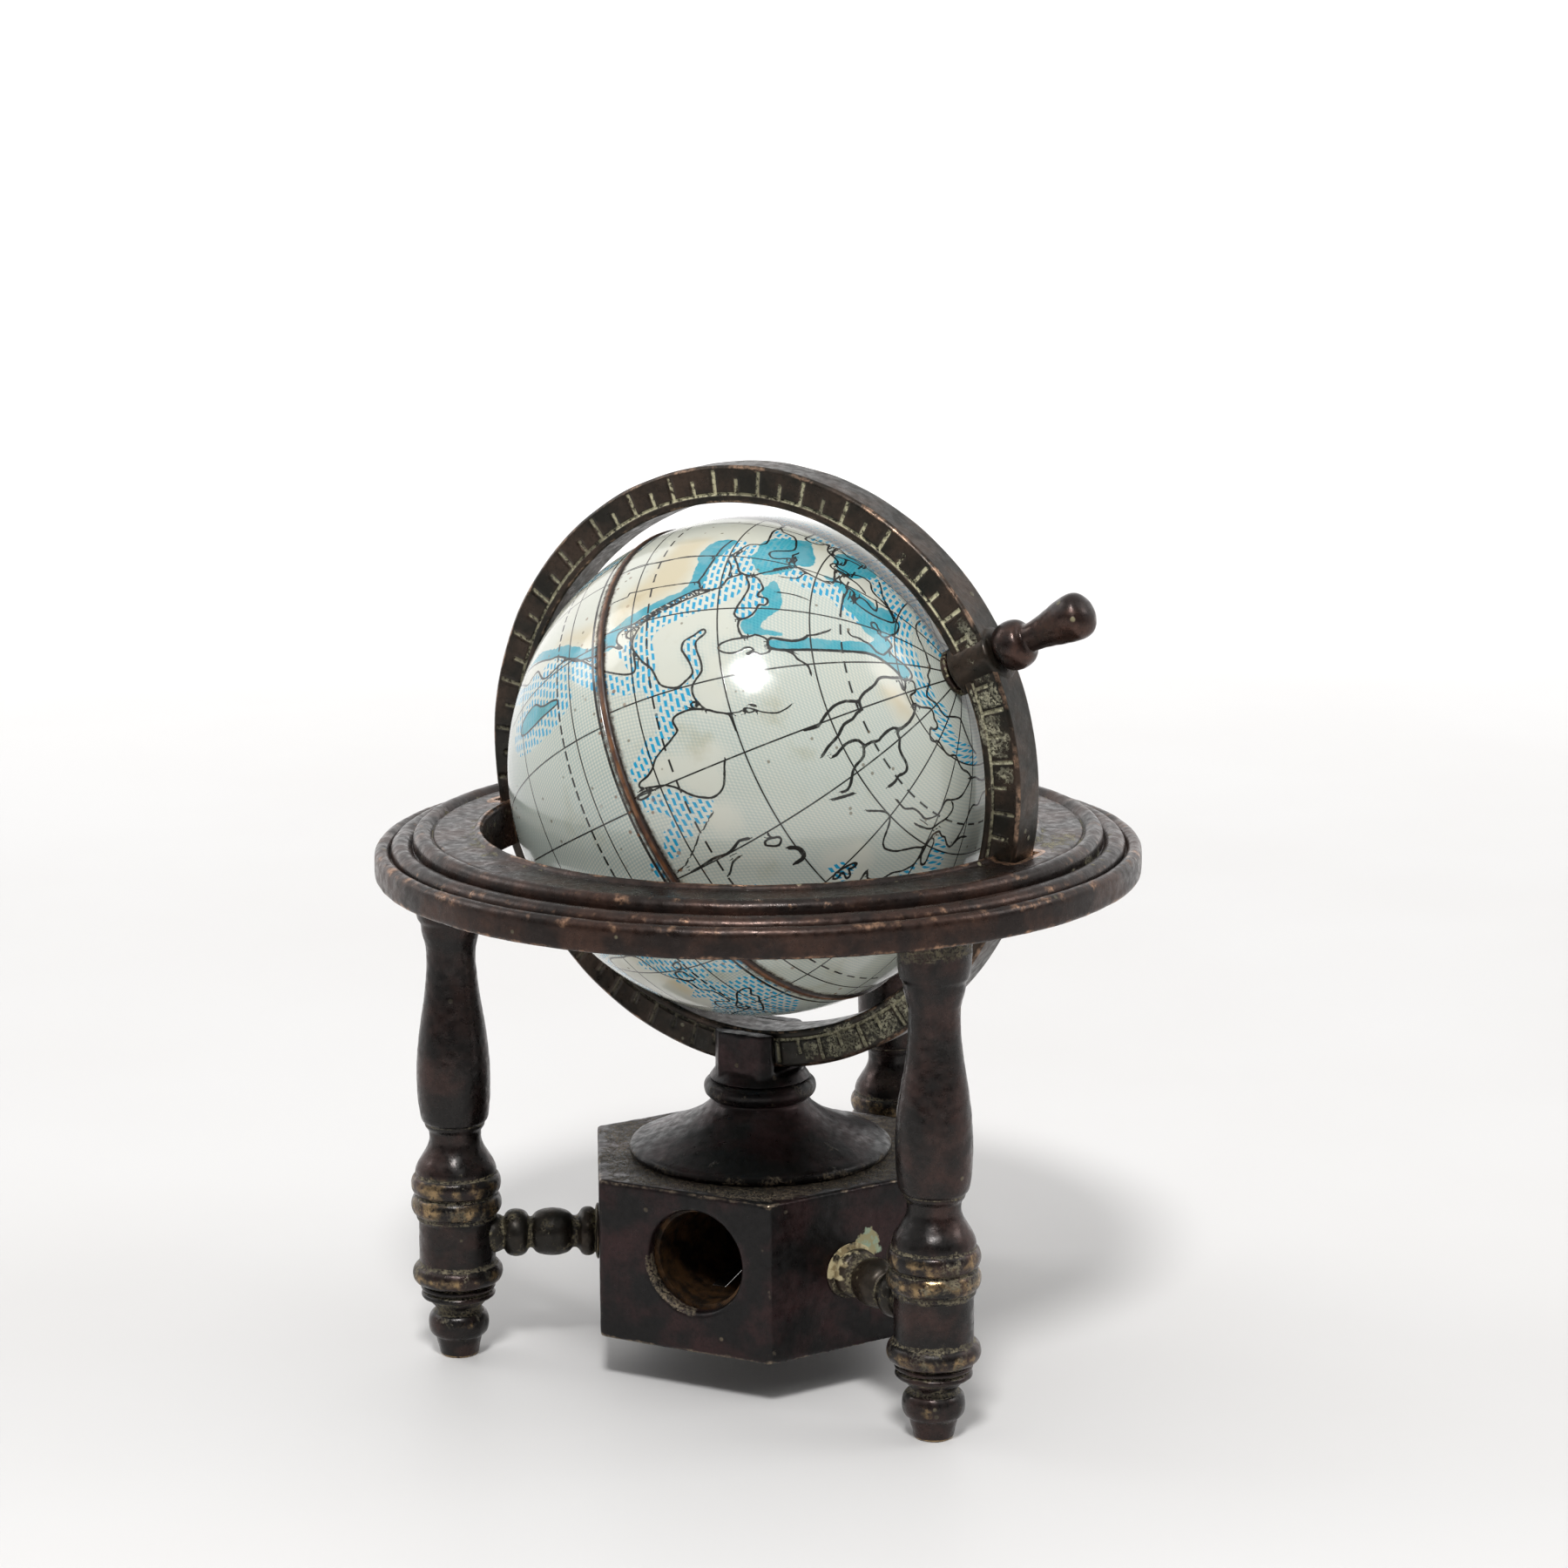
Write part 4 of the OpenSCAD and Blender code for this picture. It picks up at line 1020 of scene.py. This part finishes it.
# Areas printed in solid cyan
SOLID = [
    "26.5,69.5 31,71.5 38,72.4 45,71.9 50,69.8 54,70.7 58.5,70.7 61,70 64,71 68,72.8 74,74.4 80,74.6 "
    "81.5,73.5 81,72 76,71 71,69.5 66.5,66.5 64,64 63.4,58 63.5,50 63,45.5 61.5,42.5 59.3,42.5 59.8,47 "
    "58.5,51 59,58 58,62 57.3,65.5 54,66.5 52,64.5 48,63 44,62 42,60 38,58.6 33,58.3 30.5,57 28.5,54.5 "
    "27,52.5 26,57 28.5,64 30,66.5",
    "4,60 8,62 16,60 21,58.5 20,55 16,53 10,52 5,54",
    "10,45 14,47 20,49.5 25,49 26.5,46.5 30,45.5 33,43 34.5,40.5 33,38 30,37 27,35.5 24,36.5 20,36 15,38 "
    "12,42",
    "36.5,43 41,44.8 47,45.3 50.5,43 53.5,41 55.5,41.5 56.5,45 58,45.5 57.5,41.5 57.3,39 56.5,37 53.5,36.3 "
    "52.2,37.3 50.5,39.3 47,40.8 46.8,42 45,42.4 43.6,41.2 41.5,40.6 39.5,41.2",
    "20,31 26,29.5 33,27.8 40,27 41.8,25.2 44,20.5 45.8,16 47.5,12.2 49,8.5 50,7.4 52,7.6 53,6 53,3.6 "
    "49.5,3.6 47.5,6.5 45.5,10 43.8,15 42.2,19.5 40,23.3 33,24.4 26,24 20,26.5",
    "50.3,2.2 53.2,2.2 52.8,-1 51.6,-4.5 50,-7 47.5,-10 45.5,-14 43,-18 40,-23 38,-28 39,-20 42.5,-14 "
    "44.5,-9 46.5,-6 48.5,-3 50,-0.5",
    MADAGASCAR,
]

# Areas filled with cyan dashes
DASHED = [
    "28,32.5 31,33.6 34,34.4 36.5,33.5 38,32.3 40.5,31.8 41,30 41.2,28.4 40.8,26.8 38.5,26.2 36,26.8 "
    "32,27.4 28,28 24,28 20,29 20,33 24,33",
    BLACK_SEA,
    "41,26 42.5,23.5 44.5,19.5 46.2,16 48,12 49,8.5 50,10.2 49.3,12 48,15.2 46.5,18.5 45.2,21.5 43.9,24",
    "57.2,23.4 56.3,24 55.4,26 54.2,27.6 55,28.4 57,26.4 60.5,26.3 65.5,26.6 67.4,24.9 66,24.6 64.6,25 "
    "62,24.4 60,23.6",
    "50,10 51.3,9.7 53.2,11.2 54.5,11.1 57,12.4 61,15.2 66,17 67.6,18.6 68.4,21.5 67.4,23.8 70,23.8 "
    "74,24.8 73.9,20 75,18 78,18.4 80.5,14.5 83,11 84.7,8.8 85.4,6.2 84,4.5 81.5,6 80,8.5 77.5,11.5 "
    "76.5,14 73,14.5 71,16.8 68.5,14 64.5,12.6 61,10.6 57,8.6 54,7.2 54.2,9.4",
    "89,5 89.7,8 89.5,12.8 92,15 94.3,17.6 96,20.4 98.5,19 100,16 98,14 101.5,12.6 100.5,9.5 104,7.5 "
    "103,4.5 98,6.5 96,10 93,7.5 92,4.5",
    "10,62 20,66 27,69.5 35,72.5 45,72.2 52,71 58,71 63,71.5 70,74 80,75.3 88,75.2 93,74.5 95,73 101,73.3 "
    "108,75 115,76 125,75 129,73.5 124,72.2 127,71.3 135,71.6 150,71 158,70 166,69 175,68.5 180,70 172,73 "
    "160,74.5 150,75 140,77.5 125,79.5 110,78.7 95,79.6 85,78 70,78.6 55,77.5 40,76 30,76 20,75 10,72",
    "53,1.5 57,1.2 56.6,-3 54.5,-8 50.5,-8.5 52,-4.5",
    "56.5,-7 60,-6 62.5,-8.5 65,-14 65.5,-24 63,-31 57,-33 53,-29.5 52.5,-22 49,-18 46,-16 47.5,-10.5 "
    "51,-7.5 53.5,-10",
    "103,-1 107,0.5 106,2.2 103,2",
    "127,32 132.4,32 133.6,35 132,37.6 129.5,36.2 127,34",
    "146,41 151,41.5 150.8,45.6 149,43.6",
    "154.7,44 162,45 161.6,50.5 157,52.3 154.8,50.8",
    "133,2 136,2 136.5,-2 134,-6 136,-11 139,-12 138.5,-4 139.5,0.5 143,1.5 150,1.5 156,0 160,-3 164,-8 "
    "160,-14 165,-22 158,-26 150,-20 143.5,-16 143,-20.5 141,-19 139,-16.5 134,-18 130,-20 128,-24 "
    "125.5,-23 126,-14 129,-8 131,-3",
    "117,4 119,3 125,3.5 126,8 124,13 123,19 119,19.5 117.6,12",
]

# Areas left as plain cream
CREAM = [
    "41,26.5 43.5,24.4 46.5,18.5 49.5,11.8 52,11 57,12.6 63,16.3 67.3,18.8 67.9,21.8 66,24.6 62,24.4 "
    "58.6,23.1 56.3,24 54,28.4 56,27.8 58.5,26.3 65.5,27 68.5,24.5 72,24.3 76,27 77.6,29.4 74,31 69,30.6 "
    "66,32.5 62.5,33 61,31 59,31.6 57.6,34.5 54,35.6 50,34.8 44,36.5 38,37 35.6,35.6 38,32.3 41,30.5",
    "83.5,11.4 86,6.5 87.4,8 89,13 94.5,18.6 95.5,21 94,24 90,25.8 86.5,27.5 83.5,26 82.5,20",
    "70,68.4 78,70.4 88,70.6 95,71.4 101,70.8 106,69.5 106,66.5 96,65.5 84,66.4 79,65.5 72,66",
    "97,18 103,17 105.5,21 103,24.5 98,24", "124,33 131,31 136,35 134,41.5 127,43 124,38.5",
    "143,-5 146.5,-5.5 150,-6.2 155.5,-9.5 157,-11 152,-13.5 148,-11 143.8,-7.5",
    "131,-14 133,-12.9 134.5,-12 134.3,-15.5 132.5,-16",
]

# Tan patches
TAN = ["20,24 27,23.5 34,24 40,21.5 43,15 45,10 46,7 43,6 38,9 33,13 26,15 20,17",
       "44.5,1.5 48,1.5 48.6,-2 46,-6 43.5,-11 41,-10 43,-4", "84,66 92,66.6 101,67.6 105,69.4 98,70.2 "
                                                              "88,69.4",
       "140,2.4 150,3 158,2.4 150,1.4", "133,-17 139,-17 141,-20 134,-21"]


def pairs(text):
    """An array of places from their text."""
    return np.array([[float(value) for value in pair.split(",")] for pair in text.split()])


def drawn(path, closed):
    """A hand-drawn curve through the points, in steps of about a degree."""
    ring = np.vstack([path[-1:], path, path[:2]]) if closed else np.vstack([path[:1], path, path[-1:]])
    out = []
    for k in range(1, len(ring) - 2):
        a, b, c, d = ring[k - 1:k + 3]
        for t in np.linspace(0, 1, max(2, int(math.dist(b, c) / 1.1)), endpoint=False):
            square, cube = 2 * a - 5 * b + 4 * c - d, 3 * b - a - 3 * c + d
            out.append(0.5 * (2 * b + (c - a) * t + square * t**2 + cube * t**3))
    return np.array(out + [ring[-2]])


def on_globe(path):
    """Directions from the globe's centre to places given as longitude and latitude."""
    first, second = basis(POLE)
    lon, lat = np.radians(path).T
    return (np.cos(lat) * np.cos(lon))[:, None] * first + (np.cos(lat) * np.sin(lon))[:, None] * second \
        + np.sin(lat)[:, None] * POLE


def line_fields(out, radius, lines, reach=1.2):
    """For directions from the centre: side of, distance to and width of the nearest drawn line, in mm."""
    no_line = 3.0
    side, far = np.full(len(out), no_line), np.full(len(out), no_line)
    width = np.full(len(out), COAST)
    for pen, path in lines:
        ends = on_globe(path)
        hub = unit(ends.mean(0))
        near = np.flatnonzero(out @ hub > math.cos(min(3.1, math.acos((ends @ hub).min()) + reach / radius)))
        at = out[near]
        best, best_side = np.full(len(near), 9.0), np.zeros(len(near))
        for a, b in zip(ends[:-1], ends[1:]):
            run = b - a
            if run @ run < 1e-12:
                continue
            share = np.clip((at - a) @ run / (run @ run), 0, 1)
            gap = np.linalg.norm(at - a - share[:, None] * run, axis=1) * radius
            off = at @ unit(np.cross(a, b)) * radius
            nearer = (gap < best - 1e-6) | ((gap < best + 1e-6) & (np.abs(off) > np.abs(best_side)))
            best_side[nearer] = off[nearer]
            best = np.minimum(best, gap)
        best_side = np.where(best_side < 0, -best, best)
        nearer = best - pen / 2 < far[near] - width[near] / 2
        where = near[nearer]
        side[where], far[where], width[where] = best_side[nearer], best[nearer], pen
    return side, far, width


def zone_field(out, radius, places, outlines, reach=3.0):
    """How far each point lies inside the outlined areas, in mm; negative outside."""
    field = np.full(len(out), -reach)
    for outline in outlines:
        mean = outline[:, 0].mean()
        east = (places[:, 0] - mean + 180) % 360 - 180
        path = np.vstack([outline, outline[:1]]) - (mean, 0)
        margin = math.degrees(reach / radius)
        wide = margin / np.maximum(np.cos(np.radians(places[:, 1])), 0.05)
        near = (east > path[:, 0].min() - wide) & (east < path[:, 0].max() + wide)
        near &= (places[:, 1] > path[:, 1].min() - margin) & (places[:, 1] < path[:, 1].max() + margin)
        near = np.flatnonzero(near)
        x, y, at = east[near], places[near, 1], out[near]
        inside, gap = np.zeros(len(near), bool), np.full(len(near), reach)
        ends = on_globe(path + (mean, 0))
        for (x0, y0), (x1, y1), a, b in zip(path[:-1], path[1:], ends[:-1], ends[1:]):
            if y0 != y1:
                inside ^= ((y0 > y) != (y1 > y)) & (x < x0 + (y - y0) * (x1 - x0) / (y1 - y0))
            run = b - a
            share = np.clip((at - a) @ run / max(run @ run, 1e-12), 0, 1)
            gap = np.minimum(gap, np.linalg.norm(at - a - share[:, None] * run, axis=1) * radius)
        field[near] = np.maximum(field[near], np.where(inside, gap, -gap))
    return field


def print_frame(lean_x, lean_y, turn):
    """The axes that the printed graticule of one half really follows, a little off the globe's own."""
    up = unit(np.array([math.sin(math.radians(lean_x)), math.sin(math.radians(lean_y)), 1.0]))
    first = unit(np.array([1.0, 0, 0]) - up * up[0])
    second = np.cross(up, first)
    c, s = math.cos(math.radians(turn)), math.sin(math.radians(turn))
    return np.stack([c * first + s * second, c * second - s * first, up])


def make_half(name, north, lean, material):
    """A tin hemisphere: dense printed skin outside, plain skin inside, a square-cut rim and a pole hole."""
    axis = POLE if north else -POLE
    section, _ = section_of(name, CENTRE, axis, loop=True)
    reach = np.linalg.norm(section, axis=1)
    outer, inner, hole, rim = reach.max(), reach.min(), section[:, 0].min(), section[:, 1].min()
    rows, inner_rows, columns = 128, 14, 600
    turn = np.linspace(math.asin(hole / outer), math.acos(rim / outer), rows)
    back = np.linspace(math.acos(rim / inner), math.asin(hole / inner), inner_rows)
    section = np.vstack([np.stack([outer * np.sin(turn), outer * np.cos(turn)], 1),
                         np.stack([inner * np.sin(back), inner * np.cos(back)], 1)])
    points, faces = turned(section, True, CENTRE, axis, columns)
    faces = [face[::-1] for face in faces]
    skin = rows * columns
    out = points[:skin] - CENTRE
    out /= np.linalg.norm(out, axis=1)[:, None]
    first, second = basis(POLE)
    chart = np.stack([out @ first, out @ second, out @ POLE], 1)
    lon, lat = np.arctan2(chart[:, 1], chart[:, 0]), np.arcsin(np.clip(chart[:, 2], -1, 1))
    places = np.degrees(np.stack([lon, lat], 1))
    lands = [drawn(pairs(text), True) for text in LANDS]
    lines = [(pen, drawn(pairs(text), False)) for pen, text in LINES]
    lines += [(COAST, np.vstack([land, land[:1]])) for land in lands]
    side, far, width = line_fields(out, outer, lines)
    fields = {"solid": SOLID, "dashed": DASHED, "cream": CREAM, "tan": TAN}
    fields = {key: zone_field(out, outer, places, [drawn(pairs(t), True) for t in texts])
              for key, texts in fields.items()}
    land = zone_field(out, outer, places, lands)
    values = {"ink_side": side, "ink_far": far, "ink_width": width, "land": land, **fields}
    full = {}
    for key, numbers in values.items():
        unprinted = 3.0 if key.startswith("ink") else -3.0
        full[key] = np.concatenate([numbers, np.full(len(points) - skin, unprinted)])
    pad = np.repeat(chart[-1:], len(points) - skin, axis=0)
    full["chart"] = np.vstack([chart, pad])
    full["printed"] = np.vstack([chart @ print_frame(*lean).T, pad])
    make_piece(name + "_tin", points, faces, "globe", material, [name], values=full)


# ---- Printed tin ----

CREAM_INK, HALFTONE_INK = (0.575, 0.575, 0.49, 1), (0.27, 0.38, 0.38, 1)
CYAN_SOLID, CYAN_DASH = (0.035, 0.29, 0.37, 1), (0.018, 0.30, 0.50, 1)
BLACK_INK = (0.012, 0.011, 0.010, 1)


def angles(tree, vector):
    """Longitude and latitude in degrees, and the cosine of the latitude, of a direction."""
    flat = node(tree, "ShaderNodeVectorMath", {0: vector}, operation="NORMALIZE").outputs[0]
    x, y, z = node(tree, "ShaderNodeSeparateXYZ", {0: flat}).outputs
    lon = times(tree, calc(tree, "ARCTAN2", y, x), 180 / math.pi)
    lat = times(tree, calc(tree, "ARCSINE", z), 180 / math.pi)
    return lon, lat, calc(tree, "COSINE", calc(tree, "ARCSINE", z)), z


def pen(tree, distance, half_width, soft=0.03):
    """1 within a line: distance and half width in millimetres."""
    gap = minus(tree, distance, half_width)
    return rise(tree, gap, soft, -soft)


def dashes(tree, lon, lat, cosine, long, period, thick, row):
    """Rows of staggered dashes, all sizes in degrees on the globe."""
    wobble = grain(tree, 2.2, 2.0, 0.5, 0.003)
    v = plus(tree, calc(tree, "DIVIDE", lat, row), times(tree, wobble, 0.8))
    level = calc(tree, "FLOOR", v)
    u = calc(tree, "DIVIDE", times(tree, lon, cosine), period)
    u = plus(tree, u, times(tree, level, 0.55))
    u = plus(tree, u, times(tree, grain(tree, 1.1, 1.0, 0.5, 0.006), 0.7))
    across = apart(tree, calc(tree, "FRACT", u), 0.5)
    up = apart(tree, calc(tree, "FRACT", v), 0.5)
    side = rise(tree, across, long / period / 2 + 0.03, long / period / 2 - 0.03)
    return times(tree, side, rise(tree, up, thick / row / 2 + 0.06, thick / row / 2 - 0.06))


def printed_tin(name, first_parallel, step, rings, equator, halftone):
    """Lacquered map printing: paper tone, halftone, sea dashes, solid cyan, graticule and black drawing."""
    material, tree, shader = new_material(name)
    degree = GLOBE_R * math.pi / 180
    lon, lat, cosine, _ = angles(tree, read(tree, "printed", "Vector"))
    clon, clat, ccosine, cz = angles(tree, read(tree, "chart", "Vector"))
    ragged = jitter(tree, 0.5, 0.7, 2.0)

    def inside(key, soft=0.05):
        return rise(tree, plus(tree, read(tree, key), ragged), -soft, soft)

    tone = rise(tree, grain(tree, 9.0, 3.0), 0.35, 0.68)
    colour = blend(tree, tone, CREAM_INK, (0.56, 0.575, 0.505, 1))
    dot_pitch = 0.8
    dot_rate = 2 * math.pi / dot_pitch
    waves_u = calc(tree, "SINE", times(tree, times(tree, lon, cosine), dot_rate))
    waves_v = calc(tree, "SINE", times(tree, lat, dot_rate))
    dots = rise(tree, plus(tree, waves_u, waves_v), -1.1, 0.7)
    uneven = jitter(tree, 3.0, 3.0, 3.0)
    cream = rise(tree, plus(tree, read(tree, "cream"), uneven), -0.7, 0.7)
    plain = most(tree, cream, inside("land"))
    dots = times(tree, dots, minus(tree, 1.0, plain))
    colour = blend(tree, times(tree, dots, halftone), colour, HALFTONE_INK)
    tan = rise(tree, plus(tree, read(tree, "tan"), ragged), -1.2, 1.2)
    colour = blend(tree, times(tree, tan, 0.65), colour, (0.52, 0.42, 0.24, 1))
    near_land = rise(tree, read(tree, "land"), -1.9, -1.75)
    beach = times(tree, near_land, rise(tree, read(tree, "land"), -0.15, -0.25))
    sea = most(tree, inside("dashed"), beach)
    strokes = dashes(tree, clon, clat, ccosine, 1.7, 2.5, 0.72, 1.36)
    colour = blend(tree, times(tree, sea, 0.25), colour, (0.66, 0.72, 0.66, 1))
    colour = blend(tree, times(tree, sea, strokes), colour, CYAN_DASH)
    washed = rise(tree, grain(tree, 1.5, 3.0, 0.6, 0.022), 0.36, 0.6, 0.86, 1.0)
    cyan = blend(tree, times(tree, dots, 0.4), CYAN_SOLID, (0.09, 0.42, 0.47, 1))
    colour = blend(tree, times(tree, inside("solid"), washed), colour, cyan)
    drift = jitter(tree, 0.1, 0.5, 2.0)
    coast = pen(tree, calc(tree, "ABSOLUTE", read(tree, "ink_side")),
                plus(tree, times(tree, read(tree, "ink_width"), 0.5), drift))
    coast = times(tree, coast, rise(tree, read(tree, "ink_far"), 0.34, 0.28))
    meridian = times(tree, calc(tree, "PINGPONG", lon, 10.0), times(tree, cosine, degree))
    ink = most(tree, coast, pen(tree, meridian, 0.07))
    parallel = calc(tree, "PINGPONG", minus(tree, lat, first_parallel), step / 2)
    parallel = times(tree, parallel, degree)
    ink = most(tree, ink, pen(tree, parallel, 0.068))
    for ring_lat, period, duty, width in rings:
        gap = times(tree, apart(tree, lat, ring_lat), degree)
        on = rise(tree, calc(tree, "FRACT", calc(tree, "DIVIDE", lon, period)), duty + 0.02, duty - 0.02)
        ink = most(tree, ink, times(tree, on, pen(tree, gap, width)))
    if equator is not None:
        gap = times(tree, apart(tree, lat, equator), degree)
        ink = most(tree, ink, pen(tree, gap, 0.13))
    faded = rise(tree, grain(tree, 1.2, 4.0, 0.7, 0.04), 0.3, 0.48, 0.8, 0.98)
    colour = blend(tree, times(tree, ink, faded), colour, BLACK_INK)
    seam = apart(tree, times(tree, cz, GLOBE_R), SEAM_NORTH)
    dirt = plus(tree, seam, jitter(tree, 1.2, 0.6, 4.0, 0.7))
    colour = blend(tree, rise(tree, dirt, 0.85, 0.3, 0.0, 0.9), colour, (0.045, 0.022, 0.012, 1))
    rust = times(tree, specks(tree, 0.7, 0.16, 0.03), rise(tree, seam, 4.5, 0.5, 0.0, 0.8))
    colour = blend(tree, rust, colour, (0.16, 0.06, 0.02, 1))
    brown_spots = times(tree, specks(tree, 0.55, 0.03, 0.05), 0.7)
    colour = blend(tree, brown_spots, colour, (0.13, 0.10, 0.06, 1))
    yellowed = rise(tree, grain(tree, 7.0, 5.0, 0.6, 0.02), 0.56, 0.72, 0.0, 0.4)
    colour = blend(tree, yellowed, colour, (0.62, 0.53, 0.33, 1), mode="MULTIPLY")
    rough = rise(tree, grain(tree, 1.4, 4.0, 0.6, 0.03), 0.35, 0.7, 0.12, 0.22)
    skin = bump(tree, grain(tree, 2.4, 2.0), 0.12, 0.12)
    skin = bump(tree, ink, 0.01, 0.3, skin)
    feed(tree, shader, {"Base Color": colour, "Roughness": rough, "Normal": skin, "Coat Weight": 0.25,
                        "Coat Roughness": 0.06})
    return material


def seam_material():
    material, tree, shader = new_material("seam_rust")
    worn = rise(tree, grain(tree, 1.3, 4.0, 0.65), 0.4, 0.62)
    colour = blend(tree, worn, (0.075, 0.028, 0.012, 1), (0.19, 0.085, 0.036, 1))
    colour = blend(tree, read(tree, "edge"), colour, (0.018, 0.010, 0.007, 1))
    colour = blend(tree, specks(tree, 0.5, 0.3), colour, (0.03, 0.014, 0.008, 1))
    rough = rise(tree, worn, 0, 1, 0.5, 0.28)
    pitted = bump(tree, grain(tree, 0.3, 3.0), 0.04, 0.5)
    feed(tree, shader, {"Base Color": colour, "Roughness": rough, "Normal": pitted})
    return material


def make_band(material):
    section, closed = section_of("equator_band", CENTRE, POLE, loop=True)
    points, faces = turned(smoothed(section, closed, step=0.13, soften=0.02), closed, CENTRE, POLE, 500)
    level = (points - CENTRE) @ POLE - SEAM_NORTH
    edge = np.clip((np.abs(level) - 0.12) / 0.15, 0, 1)
    make_piece("equator_band_rolled", points, faces, "globe", material,
               ["equator_band"], values={"edge": edge})


# ---- Assembly ----

make_camera()
make_floor()
make_lights()

ring_bronze = patina("horizon_bronze", (0.018, 0.012, 0.010, 1), (0.052, 0.026, 0.018, 1),
                     (0.46, 0.27, 0.17, 1), (0.27, 0.245, 0.15, 1), rubbed=0.85, dusty=0.72, rough=0.3,
                     mottle=1.1)
leg_bronze = patina("leg_bronze", (0.017, 0.015, 0.014, 1), (0.048, 0.027, 0.023, 1), (0.42, 0.29, 0.15, 1),
                    (0.17, 0.145, 0.09, 1), rubbed=0.62, dusty=0.7, rough=0.27, mottle=0.9)
stretcher_bronze = patina("stretcher_bronze", (0.02, 0.017, 0.013, 1), (0.05, 0.036, 0.024, 1),
                          (0.33, 0.24, 0.13, 1), (0.20, 0.17, 0.10, 1), rubbed=0.6, dusty=0.78,
                          crust_tones=((0.26, 0.20, 0.10, 1), (0.48, 0.41, 0.24, 1)))
box_bronze = patina("box_bronze", (0.011, 0.010, 0.010, 1), (0.036, 0.017, 0.017, 1), (0.24, 0.19, 0.14, 1),
                    (0.16, 0.125, 0.08, 1), rubbed=0.45, dusty=0.55, rough=0.34)
meridian_bronze = patina("meridian_bronze", (0.018, 0.016, 0.012, 1), (0.055, 0.036, 0.025, 1),
                         (0.34, 0.22, 0.15, 1), (0.38, 0.36, 0.25, 1), rubbed=0.5, dusty=0.68, rough=0.33)
handle_bronze = patina("handle_bronze", (0.024, 0.016, 0.014, 1), (0.085, 0.042, 0.030, 1),
                       (0.38, 0.23, 0.15, 1), (0.36, 0.33, 0.19, 1), rubbed=0.55, dusty=0.6, rough=0.28)
insert_brass = plain_metal("insert_brass", (0.02, 0.013, 0.008, 1), (0.10, 0.05, 0.02, 1), 1.6, 0.5, 0.6)
blade_steel = plain_metal("blade_steel", (0.10, 0.095, 0.09, 1), (0.19, 0.15, 0.12, 1), 1.2, 0.4, 0.9)
screw_steel = plain_metal("screw_steel", (0.08, 0.075, 0.07, 1), (0.16, 0.12, 0.09, 1), 0.9, 0.4, 0.9)
for cad_node, metal in (("sharpener_body", insert_brass), ("sharpener_blade", blade_steel),
                        ("blade_screw", screw_steel), ("pedestal_screw", screw_steel)):
    materials = frame["nodes"][cad_node].data.materials
    materials.clear()
    materials.append(metal)

make_horizon(ring_bronze)
for number, leg in enumerate(LEGS):
    make_leg(leg, 100 + number, leg_bronze)
LEG_RADIUS, DRUM_R = float(np.linalg.norm(middle("leg_rear")[:2])), 3.33
for number, (bar, degrees) in enumerate(STRETCHERS.items()):
    make_stretcher(bar, degrees, LEG_RADIUS - DRUM_R, 120 + number, stretcher_bronze)
make_remeshed("base_box", "stand", box_bronze, 0.22, 3, 21, marks=box_marks)
make_remeshed("fork_post", "stand", box_bronze, 0.14, 5, 22)
make_pedestal(box_bronze)
make_meridian(meridian_bronze)
# A dark sheet in the slot's mouth, as painted shade over the lit floor beyond it.
make_slot_shade_sheet(insert_brass)
for part in ("spin_handle", "pole_washer_north", "polar_axle"):
    make_turned(part, "globe", handle_bronze, POLE, CENTRE, 90, 51)
for part in ("axle_rivet", "pole_washer_south"):
    make_turned(part, "globe", handle_bronze, -POLE, CENTRE, 72, 52)

make_band(seam_material())
# Broken circles: latitude, then the dashes' period, share drawn and half width
NORTH_RINGS = ((13.1, 5.0, 0.6, 0.09), (56.6, 8.5, 0.6, 0.09))
SOUTH_RINGS = ((-12.0, 3.2, 0.72, 0.11),)
north_map = printed_tin("printed_tin_north", 9.1, 20.25, NORTH_RINGS, None, 0.46)
south_map = printed_tin("printed_tin_south", -7.9, 20.5, SOUTH_RINGS, -0.4, 0.66)
make_half("globe_north_half", True, (-1.06, -1.61, 8.27), north_map)
make_half("globe_south_half", False, (0.0, -1.39, 10.63), south_map)
